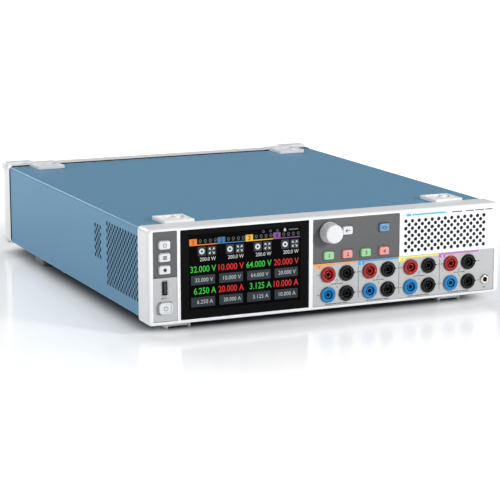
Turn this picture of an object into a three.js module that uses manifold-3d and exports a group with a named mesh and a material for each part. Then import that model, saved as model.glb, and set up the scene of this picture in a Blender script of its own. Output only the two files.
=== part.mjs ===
// A four-output bench power supply: a flat two-unit cabinet with a sheet-steel sleeve,
// a moulded front bezel, a moulded rear frame, and the electronics between them.
// Millimetres, +Z up, the front faces -Y, and the origin is on the table under the middle.

import * as THREE from "three";
import { mergeVertices } from "three/addons/utils/BufferGeometryUtils.js";
import Module from "manifold-3d";

const wasm = await Module();
wasm.setup();

// ---------------------------------------------------------------- driving dimensions

const LENGTH = 460; // knob face to rear bumpers
const KNOB_REACH = 13; // how far the knob stands out of the front face
const FOOT_HEIGHT = 10; // table to the underside of the bezel
const GAP = 0.3; // clearance between pieces that sit against each other

const BEZEL = { halfWidth: 180.5, height: 88, depth: 25, wall: 3, corner: 4, round: 2.4 };
const FRONT_WALL = 4.6; // thickness of the bezel's front wall
const WINDOW_DEPTH = 2.7; // depth of the wide part of each window, down to its ledge
const LEDGE = 1.5; // width of the ledge that a panel or the glass rests on
const PANEL_FACE = 0.4; // how far the panels sit below the bezel's face
const PANEL_BACK = 2.4;

const SLEEVE = { halfWidth: 179.5, bottom: 3.6, top: 86.4, front: 25.3, rear: 419.7, wall: 1.2 };
const REAR = { front: 420, back: 443, bumperBack: 447, halfWidth: 180, bottom: 2.5, top: 87.5 };

const TOP_REST = {
  halfWidth: 15,
  length: 31,
  rim: 3,
  depth: 1.8,
  crest: 90,
  frontX: 139.5,
  frontY: 26,
  rearX: 142.5,
  rearY: 389,
};

const LEFT_WINDOW = { x0: -175.6, x1: -152.4, z0: 3.2, z1: 85.7 };
const GLASS_WINDOW = { x0: -149.4, x1: -21.9, z0: 3.2, z1: 85.5 };
const CONTROL_WINDOW = { x0: -18, x1: 72.2, z0: 43.5, z1: 85.3 };
const TERMINAL_WINDOW = { x0: -18, x1: 175.2, z0: 2.8, z1: 43.5 };
const LEFT_SPLIT = 43.7; // height where the left panel changes from keys to ports

const KEY_PITCH = 19.15; // along the row of channel keys
const KEY_ROW_X = -2.1;
const CHANNEL_KEY_Z = 50.7;
const TOP_KEY_Z = 72.9;
const LEFT_KEY_X = -164.9;
const LEFT_KEY_ZS = [73.5, 62.2, 51];
const STANDBY = { x: -164.5, z: 16.1, width: 12.6, height: 10.4 };
const KEY_FACE = { width: 10.9, height: 8.3, corner: 1.8, reach: 2 };
const LEFT_KEY_FACE = { width: 11.5, height: 8.4, corner: 1.8, reach: 2.2 };
const KEY_GAP = 0.35; // between a key and its window
const KEY_FLANGE = { margin: 1.1, front: 2.9, back: 3.9 };
const SWITCH_FACE = 5.6; // front of the tact switches behind the keys

const KNOB = { x: -1.7, z: 72.6, baseRadius: 10, faceRadius: 9.1 };
const SHAFT_RADIUS = 3;

const SOCKET = { x: -2.4, z: 32.65, pitch: 19.03, channelPitch: 43.32 };
const SOCKET_BODY_RADIUS = 5.7;
const SOCKET_SIDES = 14;
const EARTH = { x: 165.2, z: 14 };
const USB = { x: -164.5, z: 34, width: 6, height: 13.8 };

const GRILLE = { x: 78.7, z: 76.8, pitch: 7.04, columns: 13, rows: 5, radius: 1.7 };

const TRAY = { halfWidth: 176, bottom: 5.2, sheet: 1.2, front: 27, rear: 417, flange: 30 };
const FAN = { x: -120, z: 45, y: 393, size: 60, depth: 24, bore: 28.6 };
const INLET = { x: 142, z: 40, width: 34, height: 62, wellZ: -12.5 };
const ROCKER = { z: 19, halfWidth: 9.2, halfHeight: 6, tilt: 8, y: 421 };
const REAR_BLOCK = { x: 28, z: 28, width: 118, height: 20 };

// ---------------------------------------------------------------- solids

// A closed three.js geometry as a solid, with its shared corners merged.
function solid(geometry) {
  const bare = geometry.clone();
  bare.deleteAttribute("normal");
  bare.deleteAttribute("uv");
  bare.clearGroups();
  const merged = mergeVertices(bare, 1e-4);
  const faces = [];
  const index = merged.index.array;
  for (let i = 0; i < index.length; i += 3) {
    const [a, b, c] = [index[i], index[i + 1], index[i + 2]];
    if (a !== b && b !== c && a !== c) faces.push(a, b, c);
  }
  return new wasm.Manifold(
    new wasm.Mesh({
      numProp: 3,
      vertProperties: merged.attributes.position.array,
      triVerts: new Uint32Array(faces),
    }),
  );
}

// A named mesh made from a solid.
function piece(name, shape, material) {
  const made = shape.getMesh();
  const geometry = new THREE.BufferGeometry();
  geometry.setAttribute("position", new THREE.BufferAttribute(made.vertProperties, 3));
  geometry.setIndex(new THREE.BufferAttribute(made.triVerts, 1));
  geometry.computeVertexNormals();
  const mesh = new THREE.Mesh(geometry, material);
  mesh.name = name;
  return mesh;
}

// A block between two corners.
function block(x0, x1, y0, y1, z0, z1) {
  const geometry = new THREE.BoxGeometry(x1 - x0, y1 - y0, z1 - z0);
  geometry.translate((x0 + x1) / 2, (y0 + y1) / 2, (z0 + z1) / 2);
  return solid(geometry);
}

// The outline of a rectangle with round corners, in the plane of the front face.
function roundedOutline(x0, x1, z0, z1, r) {
  const shape = new THREE.Shape();
  shape.moveTo(x0 + r, z0);
  shape.lineTo(x1 - r, z0);
  shape.absarc(x1 - r, z0 + r, r, -Math.PI / 2, 0, false);
  shape.lineTo(x1, z1 - r);
  shape.absarc(x1 - r, z1 - r, r, 0, Math.PI / 2, false);
  shape.lineTo(x0 + r, z1);
  shape.absarc(x0 + r, z1 - r, r, Math.PI / 2, Math.PI, false);
  shape.lineTo(x0, z0 + r);
  shape.absarc(x0 + r, z0 + r, r, Math.PI, 1.5 * Math.PI, false);
  return shape;
}

// That outline carried from y0 back to y1.
function roundedBlock(x0, x1, y0, y1, z0, z1, r, steps = 3) {
  const outline = roundedOutline(x0, x1, z0, z1, r);
  const depth = y1 - y0;
  const options = { depth, bevelEnabled: false, curveSegments: steps };
  const geometry = new THREE.ExtrudeGeometry(outline, options);
  geometry.rotateX(Math.PI / 2);
  geometry.translate(0, y1, 0);
  return solid(geometry);
}

// A rounded block whose front edges are rounded over as well.
function cushionBlock(x0, x1, y0, y1, z0, z1, r, round, bevelSegments = 2) {
  const outline = roundedOutline(x0 + round, x1 - round, z0 + round, z1 - round, r - round / 2);
  const geometry = new THREE.ExtrudeGeometry(outline, {
    depth: y1 - y0,
    bevelEnabled: true,
    bevelThickness: round,
    bevelSize: round,
    bevelSegments,
    curveSegments: 3,
  });
  geometry.rotateX(Math.PI / 2);
  geometry.translate(0, y1 + round, 0);
  return solid(geometry).intersect(block(x0 - 1, x1 + 1, y0, y1, z0 - 1, z1 + 1));
}

// A turned piece: [radius, y] points revolved about an axis that runs front to back.
function turned(points, sides) {
  const profile = points.map(([r, y]) => new THREE.Vector2(r, y));
  return solid(new THREE.LatheGeometry(profile, sides));
}

// A straight round rod or hole that runs front to back.
function rod(x, z, r, y0, y1, sides = 16) {
  const geometry = new THREE.CylinderGeometry(r, r, y1 - y0, sides);
  geometry.translate(x, (y0 + y1) / 2, z);
  return solid(geometry);
}

// ---------------------------------------------------------------- materials

function plastic(color, roughness = 0.5) {
  return new THREE.MeshStandardMaterial({ color, roughness, metalness: 0 });
}

function metal(color, roughness = 0.35) {
  return new THREE.MeshStandardMaterial({ color, roughness, metalness: 1 });
}

const whitePlastic = plastic(0xececec, 0.45);
const darkPanel = plastic(0x6a6a6a, 0.55);
const lightPanel = plastic(0xbdbdbd, 0.55);
const blackGlass = plastic(0x0b0b0c, 0.08);
const lcdMetal = metal(0x9a9da0, 0.4);
const whiteKey = plastic(0xe2e5e8, 0.4);
const greenKey = plastic(0xa2dba2, 0.4);
const redKey = plastic(0xf39a9a, 0.4);
const blueKey = plastic(0x9cc6ea, 0.4);
const redSocket = plastic(0xc8362f, 0.35);
const blueSocket = plastic(0x1d8fd8, 0.35);
const blackSocket = plastic(0x1c1c1e, 0.4);
const nickel = metal(0xd9d5cc, 0.25);
const sleevePaint = new THREE.MeshStandardMaterial({
  color: 0x6d9bbb,
  roughness: 0.5,
  metalness: 0.2,
});
const zincSheet = metal(0xb4b7b9, 0.4);
const footPlastic = plastic(0xb9bcbe, 0.6);
const circuitBoard = plastic(0x2c6b45, 0.6);
const blackPlastic = plastic(0x1f2022, 0.5);
const aluminium = metal(0xbfc2c5, 0.45);

// ---------------------------------------------------------------- front bezel

// The moulded frame round the front, with its windows and the air grille.
function makeBezel() {
  const { halfWidth, height, depth, wall, corner, round } = BEZEL;
  const outer = cushionBlock(-halfWidth, halfWidth, 0, depth, 0, height, corner, round, 3);
  const inside = block(
    wall - halfWidth,
    halfWidth - wall,
    FRONT_WALL,
    depth + 1,
    wall,
    height - wall,
  );
  let shell = outer.subtract(inside);
  for (const w of [LEFT_WINDOW, GLASS_WINDOW, CONTROL_WINDOW, TERMINAL_WINDOW]) {
    shell = shell.subtract(block(w.x0, w.x1, -1, WINDOW_DEPTH, w.z0, w.z1));
    const x0 = w.x0 + LEDGE;
    const x1 = w.x1 - LEDGE;
    const z0 = w.z0 + LEDGE;
    const z1 = w.z1 - LEDGE;
    shell = shell.subtract(block(x0, x1, 0, FRONT_WALL + 1, z0, z1));
  }
  return shell.subtract(grilleHoles());
}

// Two interleaved square grids of six-sided holes.
function grilleHoles() {
  const holes = [];
  const { x, z, pitch, columns, rows, radius } = GRILLE;
  for (const shift of [0, 1]) {
    for (let i = 0; i < columns - shift; i += 1) {
      for (let j = 0; j < rows - shift; j += 1) {
        const hx = x + pitch * (i + shift / 2);
        const hz = z - pitch * (j + shift / 2);
        holes.push(rod(hx, hz, radius, -1, FRONT_WALL + 1, 6));
      }
    }
  }
  return wasm.Manifold.union(holes);
}

// ---------------------------------------------------------------- panels and display

// A flat panel that drops into one window with a gap all round.
function panelPlate(x0, x1, z0, z1) {
  return block(x0 + GAP, x1 - GAP, PANEL_FACE, PANEL_BACK, z0 + GAP, z1 - GAP);
}

// The window that a key or a port comes out of.
function keyWindow(x, z, width, height) {
  const w = width / 2 + KEY_GAP;
  const h = height / 2 + KEY_GAP;
  return block(x - w, x + w, 0, PANEL_BACK + 1, z - h, z + h);
}

const channelKeyXs = [0, 1, 2, 3].map((n) => KEY_ROW_X + n * KEY_PITCH);
const backKeyX = channelKeyXs[1];
const outputKeyX = channelKeyXs[3];

function makeLeftKeyPanel() {
  let plate = panelPlate(LEFT_WINDOW.x0, LEFT_WINDOW.x1, LEFT_SPLIT, LEFT_WINDOW.z1);
  for (const z of LEFT_KEY_ZS) {
    plate = plate.subtract(keyWindow(LEFT_KEY_X, z, LEFT_KEY_FACE.width, LEFT_KEY_FACE.height));
  }
  return plate;
}

function makeLeftPortPanel() {
  const plate = panelPlate(LEFT_WINDOW.x0, LEFT_WINDOW.x1, LEFT_WINDOW.z0, LEFT_SPLIT);
  return plate
    .subtract(keyWindow(USB.x, USB.z, USB.width, USB.height))
    .subtract(keyWindow(STANDBY.x, STANDBY.z, STANDBY.width, STANDBY.height));
}

function makeControlPanel() {
  const w = CONTROL_WINDOW;
  let plate = panelPlate(w.x0, w.x1, w.z0, w.z1);
  for (const x of channelKeyXs) {
    plate = plate.subtract(keyWindow(x, CHANNEL_KEY_Z, KEY_FACE.width, KEY_FACE.height));
  }
  for (const x of [backKeyX, outputKeyX]) {
    plate = plate.subtract(keyWindow(x, TOP_KEY_Z, KEY_FACE.width, KEY_FACE.height));
  }
  return plate.subtract(rod(KNOB.x, KNOB.z, SHAFT_RADIUS + 0.8, 0, PANEL_BACK + 1));
}

// Places of the sixteen output sockets: four to a channel.
const sockets = [];
for (let n = 0; n < 4; n += 1) {
  const x = SOCKET.x + n * SOCKET.channelPitch;
  const low = SOCKET.z - SOCKET.pitch;
  const channel = `channel_${n + 1}`;
  sockets.push([`${channel}_plus_socket`, x, SOCKET.z, redSocket]);
  sockets.push([`${channel}_minus_socket`, x, low, blueSocket]);
  sockets.push([`${channel}_sense_plus_socket`, x + SOCKET.pitch, SOCKET.z, blackSocket]);
  sockets.push([`${channel}_sense_minus_socket`, x + SOCKET.pitch, low, blackSocket]);
}

function makeTerminalPanel() {
  const w = TERMINAL_WINDOW;
  let plate = panelPlate(w.x0, w.x1, w.z0, w.z1);
  for (const [, x, z] of sockets) {
    plate = plate.subtract(rod(x, z, SOCKET_BODY_RADIUS + GAP, 0, PANEL_BACK + 1, 12));
  }
  return plate.subtract(rod(EARTH.x, EARTH.z, 3.5, 0, PANEL_BACK + 1, 12));
}

function makeGlass() {
  const w = GLASS_WINDOW;
  return block(w.x0 + GAP, w.x1 - GAP, 0.1, PANEL_BACK, w.z0 + GAP, w.z1 - GAP);
}

// The display module: a shallow metal tray with the glass cell in front.
function makeLcd() {
  const cell = block(-146, -25.5, 3, 6.2, 8, 81.5);
  const tray = block(-147, -24.4, 6.2, 9.6, 5.6, 83);
  return cell.add(tray);
}

// ---------------------------------------------------------------- keys

// A push key about its own centre: a rounded cap in front of a flange that keeps it in.
function makeKey({ width, height, corner, reach }) {
  const w = width / 2;
  const h = height / 2;
  const m = KEY_FLANGE.margin;
  const cap = cushionBlock(-w, w, -reach, KEY_FLANGE.back, -h, h, corner, 0.6);
  const flange = block(-w - m, w + m, KEY_FLANGE.front, KEY_FLANGE.back, -h - m, h + m);
  return cap.add(flange);
}

// The standby key has a raised rim round a sunken face.
function makeStandbyKey() {
  const face = { width: STANDBY.width, height: STANDBY.height, corner: 3, reach: 3.2 };
  const w = STANDBY.width / 2 - 1.3;
  const h = STANDBY.height / 2 - 1.3;
  const dish = roundedBlock(-w, w, -face.reach - 1, -face.reach + 0.7, -h, h, 2);
  return makeKey(face).subtract(dish);
}

// ---------------------------------------------------------------- knob and encoder

function makeKnob() {
  const face = -KNOB_REACH;
  const { baseRadius, faceRadius } = KNOB;
  const body = turned(
    [
      [0, -0.8],
      [baseRadius - 0.6, -0.8],
      [baseRadius, -1.4],
      [faceRadius + 0.1, face + 0.9],
      [faceRadius - 0.3, face + 0.25],
      [faceRadius - 1, face],
      [0, face],
    ].reverse(),
    36,
  );
  return body.subtract(rod(0, 0, SHAFT_RADIUS + 0.05, face + 3, 1, 20));
}

function makeShaft() {
  const r = SHAFT_RADIUS;
  return turned([[0, 3.4], [r, 3.4], [r, -KNOB_REACH + 3.4], [0, -KNOB_REACH + 3.4]].reverse(), 20);
}

// The encoder's case, with the well that the push plunger moves in.
function makeEncoderBody() {
  const shell = block(-6, 6, 2.9, 9.7, -6, 6);
  return shell.subtract(rod(0, 0, SHAFT_RADIUS + 0.6, 2, 8.9, 20));
}

function makePlunger() {
  return rod(0, 0, SHAFT_RADIUS - 0.4, 3.6, 7.2, 16);
}

// ---------------------------------------------------------------- sockets

// A 4 mm safety socket: flange, ring groove for a shrouded plug, and the contact sleeve.
function makeSocket() {
  return turned(
    [
      [0, 15],
      [2, 15],
      [2, -0.7],
      [3.1, -0.7],
      [3.1, 4],
      [4.3, 4],
      [4.3, -1.7],
      [6.9, -1.7],
      [7.5, -1.1],
      [7.5, PANEL_FACE - GAP],
      [SOCKET_BODY_RADIUS, PANEL_FACE - GAP],
      [SOCKET_BODY_RADIUS, 18],
      [0, 18],
    ],
    SOCKET_SIDES,
  );
}

function makeEarthSocket() {
  return turned(
    [
      [0, 13],
      [2, 13],
      [2, -1.4],
      [3.6, -1.4],
      [4.7, -0.5],
      [4.7, PANEL_FACE - GAP],
      [3.2, PANEL_FACE - GAP],
      [3.2, 16],
      [0, 16],
    ],
    SOCKET_SIDES,
  );
}

// The serial port stands on end: a shell with a contact tongue to one side.
function makeUsb() {
  const w = USB.width / 2;
  const h = USB.height / 2;
  const shell = block(-w, w, 0.2, 16, -h, h);
  const hollow = block(0.4 - w, w - 0.4, -1, 14, 0.4 - h, h - 0.4);
  const tongue = block(-1.8, -0.1, 2, 15, -5.4, 5.4);
  return shell.subtract(hollow).add(tongue);
}

// ---------------------------------------------------------------- cabinet

// The painted sheet sleeve, open at both ends.
function makeSleeve() {
  const { halfWidth, bottom, top, front, rear, wall } = SLEEVE;
  const outer = roundedBlock(-halfWidth, halfWidth, front, rear, bottom, top, 2);
  const w = halfWidth - wall;
  return outer.subtract(roundedBlock(-w, w, front - 1, rear + 1, bottom + wall, top - wall, 0.8));
}

// The folded tray inside the sleeve that carries the boards.
function makeTray() {
  const { halfWidth, bottom, sheet, front, rear, flange } = TRAY;
  const outer = block(-halfWidth, halfWidth, front, rear, bottom, flange);
  const w = halfWidth - sheet;
  return outer.subtract(block(-w, w, front - 1, rear + 1, bottom + sheet, flange + 1));
}

// The plate across the back, with its cut-outs.
function makeRearPanel() {
  let plate = block(-176.5, 176.5, 420.4, 422, 6, 84);
  for (let i = -3; i <= 3; i += 1) {
    const half = Math.sqrt(FAN.bore ** 2 - (i * 8) ** 2) - 1;
    const x = FAN.x + i * 8;
    const upper = block(x - 2.6, x + 2.6, 419, 423, FAN.z + 2, FAN.z + half);
    const lower = block(x - 2.6, x + 2.6, 419, 423, FAN.z - half, FAN.z - 2);
    plate = plate.subtract(upper).subtract(lower);
  }
  for (const { x, z, width, height } of [INLET, REAR_BLOCK]) {
    const w = width / 2 - 2;
    const h = height / 2 - 2;
    plate = plate.subtract(block(x - w, x + w, 419, 423, z - h, z + h));
  }
  return plate;
}

// The moulded ring round the back, its corner bumpers and its two rests for a unit on top.
function makeRearFrame() {
  const { front, back, bumperBack, halfWidth, bottom, top } = REAR;
  const outer = roundedBlock(-halfWidth, halfWidth, front, back, bottom, top, 5);
  let ring = outer.subtract(roundedBlock(-170, 170, front, back + 1, 9, 81, 4));
  ring = ring.subtract(block(-177, 177, front - 1, 422.4, 5.6, 84.4));
  for (const side of [-1, 1]) {
    for (const [z0, z1] of [[0.6, 9.5], [80.5, 89.4]]) {
      const x0 = side < 0 ? -181 : 148;
      ring = ring.add(roundedBlock(x0, x0 + 33, 434, bumperBack, z0, z1, 3));
    }
    ring = ring.add(makeTopRest(side * TOP_REST.rearX, TOP_REST.rearY, REAR.front + 10));
  }
  return ring;
}

// A low rest on the roof with a pocket that takes the foot of a unit stacked on this one.
function makeTopRest(x, y0, y1) {
  const { halfWidth, length, rim, depth, crest } = TOP_REST;
  const rest = block(x - halfWidth, x + halfWidth, y0, y1, SLEEVE.top + GAP, crest);
  const w = halfWidth - rim;
  const back = y0 + length - rim;
  return rest.subtract(block(x - w, x + w, y0 + rim, back, crest - depth, crest + 1));
}


// ---------------------------------------------------------------- feet

const FOOT = { width: 25, length: 30, cheek: 2.4, roof: 2.2, frontX: 141.5, frontY: 26 };
const REAR_FOOT = { x: 154, y: 344, halfWidth: 15, length: 28 };
const FOOT_TOP = SLEEVE.bottom - GAP;
const LEG = { radius: 2.4, length: 20, clear: 0.4 };
const LEG_PIVOT = { y: 3.4, z: -FOOT_HEIGHT + 3.9 };

// A front foot about its own corner: two cheeks under a roof, with room for the tilt leg.
function makeFrontFoot() {
  const w = FOOT.width / 2;
  const outer = block(-w, w, 0, FOOT.length, -FOOT_HEIGHT, FOOT_TOP);
  const inner = w - FOOT.cheek;
  const well = block(-inner, inner, -1, FOOT.length - 3, -FOOT_HEIGHT - 1, FOOT_TOP - FOOT.roof);
  const pin = new THREE.CylinderGeometry(1, 1, FOOT.width - 2, 12);
  pin.rotateZ(Math.PI / 2);
  pin.translate(0, LEG_PIVOT.y, LEG_PIVOT.z);
  return outer.subtract(well).add(solid(pin));
}

// The tilt leg, folded up inside its foot: an eye round the pin, a flat blade and a front lip.
function makeTiltLeg() {
  const half = FOOT.width / 2 - FOOT.cheek - LEG.clear;
  const eye = new THREE.CylinderGeometry(LEG.radius, LEG.radius, half * 2, 14);
  eye.rotateZ(Math.PI / 2);
  eye.translate(0, LEG_PIVOT.y, LEG_PIVOT.z);
  const hole = new THREE.CylinderGeometry(1.05, 1.05, half * 2 + 2, 12);
  hole.rotateZ(Math.PI / 2);
  hole.translate(0, LEG_PIVOT.y, LEG_PIVOT.z);
  const tip = LEG_PIVOT.y + LEG.length;
  const blade = block(-half, half, LEG_PIVOT.y, tip, LEG_PIVOT.z - 2.2, LEG_PIVOT.z + 1.2);
  const lip = block(-half, half, 0.7, LEG_PIVOT.y, LEG_PIVOT.z - 2.2, LEG_PIVOT.z + 5.8);
  return solid(eye).add(blade).add(lip).subtract(solid(hole));
}

// A rear foot is a plain moulded block.
function makeRearFoot() {
  const { halfWidth, length } = REAR_FOOT;
  return block(-halfWidth, halfWidth, 0, length, -FOOT_HEIGHT, FOOT_TOP);
}

// ---------------------------------------------------------------- inside

// The board behind the keys, with a switch under each one.
function makeFrontBoard() {
  const left = block(-174, -20, 10.2, 11.8, 6, 82);
  const right = block(-20, 74, 10.2, 11.8, 45, 82);
  let board = left.add(right);
  const places = LEFT_KEY_ZS.map((z) => [LEFT_KEY_X, z]);
  places.push([STANDBY.x, STANDBY.z], [backKeyX, TOP_KEY_Z], [outputKeyX, TOP_KEY_Z]);
  channelKeyXs.forEach((x) => places.push([x, CHANNEL_KEY_Z]));
  for (const [x, z] of places) {
    board = board.add(block(x - 3, x + 3, SWITCH_FACE, 10.4, z - 3, z + 3));
  }
  const port = block(USB.x - 3.6, USB.x + 3.6, 9, 13, USB.z - 7.6, USB.z + 7.6);
  return board.subtract(port);
}

function makeMainBoard() {
  const board = block(-168, 100, 60, 370, 13, 14.6);
  const parts = [
    [-150, -120, 80, 110, 34],
    [-100, -70, 90, 150, 30],
    [-40, -10, 250, 300, 38],
    [20, 60, 90, 130, 28],
    [40, 80, 280, 330, 34],
  ];
  return parts.reduce((sum, [x0, x1, y0, y1, z]) => sum.add(block(x0, x1, y0, y1, 14, z)), board);
}

// The closed box that turns mains into the low-voltage rails.
function makeMainsModule() {
  return block(108, 170, 120, 380, 12, 60);
}

// An extruded heat sink with its fins standing up, along the air path.
function makeHeatSink() {
  let sink = block(-60, 90, 150, 240, 14.9, 20);
  for (let i = 0; i < 11; i += 1) {
    const x = -59 + i * 14.6;
    sink = sink.add(block(x, x + 2, 150, 240, 19, 70));
  }
  return sink;
}

// The fan's square frame, its round duct, and the spokes that hold the motor.
function makeFanFrame() {
  const half = FAN.size / 2;
  const { x, z, y, depth, bore } = FAN;
  const outer = roundedBlock(x - half, x + half, y, y + depth, z - half, z + half, 3);
  let frame = outer.subtract(rod(x, z, bore, y - 1, y + depth + 1, 32));
  const back = y + depth;
  const spokes = block(x - bore - 0.5, x + bore + 0.5, back - 2, back, z - 1.5, z + 1.5)
    .add(block(x - 1.5, x + 1.5, back - 2, back, z - bore - 0.5, z + bore + 0.5))
    .add(rod(x, z, 11, back - 2, back, 20));
  frame = frame.add(spokes);
  return frame.add(rod(x, z, 3, back - 6, back - 1, 12));
}

// The rotor about its own axis: a hub cup and seven swept blades.
function makeFanRotor() {
  let rotor = rod(0, 0, 10.5, 0, 9, 20);
  for (let i = 0; i < 7; i += 1) {
    const blade = new THREE.BoxGeometry(17.5, 9.4, 1.4);
    blade.rotateX(0.62);
    blade.translate(18.2, 4.5, 0);
    blade.rotateY((i / 7) * 2 * Math.PI);
    rotor = rotor.add(solid(blade));
  }
  const trimmed = rotor.intersect(rod(0, 0, FAN.bore - 1.4, 0, 9, 32));
  return trimmed.subtract(rod(0, 0, 3.4, 4, 10, 16));
}

// The mains inlet: one moulding with the three-pin well below and the switch well above.
function makeInlet() {
  const w = INLET.width / 2;
  const h = INLET.height / 2;
  const flange = roundedBlock(-w, w, 422.4, 425, -h, h, 2.5);
  const body = block(2.3 - w, w - 2.3, 402, 423, 2.3 - h, h - 2.3);
  const mid = INLET.wellZ;
  const well = block(-12.5, 12.5, 408, 426, mid - 8.5, mid + 8.5);
  let inlet = flange.add(body).subtract(well);
  for (const [x, z] of [[-7, mid - 2], [7, mid - 2], [0, mid + 4.5]]) {
    inlet = inlet.add(block(x - 1, x + 1, 407, 421, z - 2, z + 2));
  }
  const rw = ROCKER.halfWidth + 1.2;
  const rh = ROCKER.halfHeight + GAP;
  return inlet.subtract(block(-rw, rw, 410, 426, ROCKER.z - rh, ROCKER.z + rh));
}

// The rocker about its own pivot: two faces that meet in a shallow valley.
function makeRocker() {
  const { halfWidth, halfHeight } = ROCKER;
  const side = new THREE.Shape();
  side.moveTo(-halfWidth, 0);
  side.lineTo(-2, -6);
  side.lineTo(2, -6);
  side.lineTo(halfWidth, 0);
  side.lineTo(halfWidth, 5.2);
  side.lineTo(0, 3.9);
  side.lineTo(-halfWidth, 5.2);
  side.closePath();
  const depth = 2 * halfHeight;
  const geometry = new THREE.ExtrudeGeometry(side, { depth, bevelEnabled: false });
  geometry.translate(0, 0, -halfHeight);
  return solid(geometry);
}

// The row of plug-in terminals for wiring the outputs from behind.
function makeRearBlock() {
  const w = REAR_BLOCK.width / 2;
  const h = REAR_BLOCK.height / 2;
  let body = block(2.4 - w, w - 2.4, 404, 424.6, 2.4 - h, h - 2.4);
  body = body.add(block(-w, w, 422.4, 424.6, -h, h));
  for (let i = 0; i < 4; i += 1) {
    const x = -42.9 + i * 28.6;
    body = body.subtract(block(x - 11.5, x + 11.5, 412, 426, -5, 5));
  }
  return body;
}

// ---------------------------------------------------------------- assembly

const supply = new THREE.Group();
const unit = new THREE.Group();
unit.position.set(0, KNOB_REACH - LENGTH / 2, FOOT_HEIGHT);
supply.add(unit);

function place(mesh, x = 0, y = 0, z = 0) {
  mesh.position.set(x, y, z);
  unit.add(mesh);
}

place(piece("front_bezel", makeBezel(), whitePlastic));
place(piece("left_key_panel", makeLeftKeyPanel(), darkPanel));
place(piece("left_port_panel", makeLeftPortPanel(), lightPanel));
place(piece("control_panel", makeControlPanel(), darkPanel));
place(piece("terminal_panel", makeTerminalPanel(), lightPanel));
place(piece("display_glass", makeGlass(), blackGlass));
place(piece("lcd_module", makeLcd(), lcdMetal));

["home_key", "menu_key", "settings_key"].forEach((name, i) => {
  place(piece(name, makeKey(LEFT_KEY_FACE), whiteKey), LEFT_KEY_X, 0, LEFT_KEY_ZS[i]);
});
place(piece("standby_key", makeStandbyKey(), whiteKey), STANDBY.x, 0, STANDBY.z);
place(piece("back_key", makeKey(KEY_FACE), whiteKey), backKeyX, 0, TOP_KEY_Z);
place(piece("output_key", makeKey(KEY_FACE), blueKey), outputKeyX, 0, TOP_KEY_Z);
channelKeyXs.forEach((x, i) => {
  const paint = i % 2 === 0 ? greenKey : redKey;
  place(piece(`channel_${i + 1}_key`, makeKey(KEY_FACE), paint), x, 0, CHANNEL_KEY_Z);
});

place(piece("rotary_knob", makeKnob(), whiteKey), KNOB.x, 0, KNOB.z);
place(piece("encoder_shaft", makeShaft(), nickel), KNOB.x, 0, KNOB.z);
place(piece("encoder_plunger", makePlunger(), blackPlastic), KNOB.x, 0, KNOB.z);
place(piece("encoder_body", makeEncoderBody(), blackPlastic), KNOB.x, 0, KNOB.z);

place(piece("usb_socket", makeUsb(), nickel), USB.x, 0, USB.z);
const socketShape = makeSocket();
for (const [name, x, z, material] of sockets) {
  place(piece(name, socketShape, material), x, 0, z);
}
place(piece("earth_socket", makeEarthSocket(), nickel), EARTH.x, 0, EARTH.z);

place(piece("case_sleeve", makeSleeve(), sleevePaint));
place(piece("chassis_tray", makeTray(), zincSheet));
place(piece("rear_panel", makeRearPanel(), zincSheet));
place(piece("rear_frame", makeRearFrame(), whitePlastic));
for (const [side, x] of [["left", -TOP_REST.frontX], ["right", TOP_REST.frontX]]) {
  const rest = makeTopRest(x, TOP_REST.frontY, TOP_REST.frontY + TOP_REST.length);
  place(piece(`top_rest_${side}`, rest, whitePlastic));
}

for (const [side, sign] of [["left", -1], ["right", 1]]) {
  const x = sign * FOOT.frontX;
  place(piece(`front_foot_${side}`, makeFrontFoot(), footPlastic), x, FOOT.frontY, 0);
  place(piece(`tilt_leg_${side}`, makeTiltLeg(), footPlastic), x, FOOT.frontY, 0);
  place(piece(`rear_foot_${side}`, makeRearFoot(), footPlastic), sign * REAR_FOOT.x, REAR_FOOT.y, 0);
}

place(piece("front_board", makeFrontBoard(), circuitBoard));
place(piece("main_board", makeMainBoard(), circuitBoard));
place(piece("mains_module", makeMainsModule(), zincSheet));
place(piece("heat_sink", makeHeatSink(), aluminium));
place(piece("fan_frame", makeFanFrame(), blackPlastic));
place(piece("fan_rotor", makeFanRotor(), blackPlastic), FAN.x, FAN.y + 11, FAN.z);
place(piece("mains_inlet", makeInlet(), blackPlastic), INLET.x, 0, INLET.z);
const rocker = piece("mains_switch", makeRocker(), blackPlastic);
rocker.rotation.z = THREE.MathUtils.degToRad(-ROCKER.tilt);
place(rocker, INLET.x, ROCKER.y, INLET.z + ROCKER.z);
place(piece("rear_terminal_block", makeRearBlock(), blackPlastic), REAR_BLOCK.x, 0, REAR_BLOCK.z);

export default supply;
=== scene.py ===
# A four-output bench power supply on a pale floor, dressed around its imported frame.
# Lengths are millimetres in cabinet coordinates: x from the middle, y back from the
# bezel's face, z up from the bezel's underside. The mesh builder turns them into metres.
import math

import bmesh
import bpy
import numpy as np
from mathutils import Matrix, Vector


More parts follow.
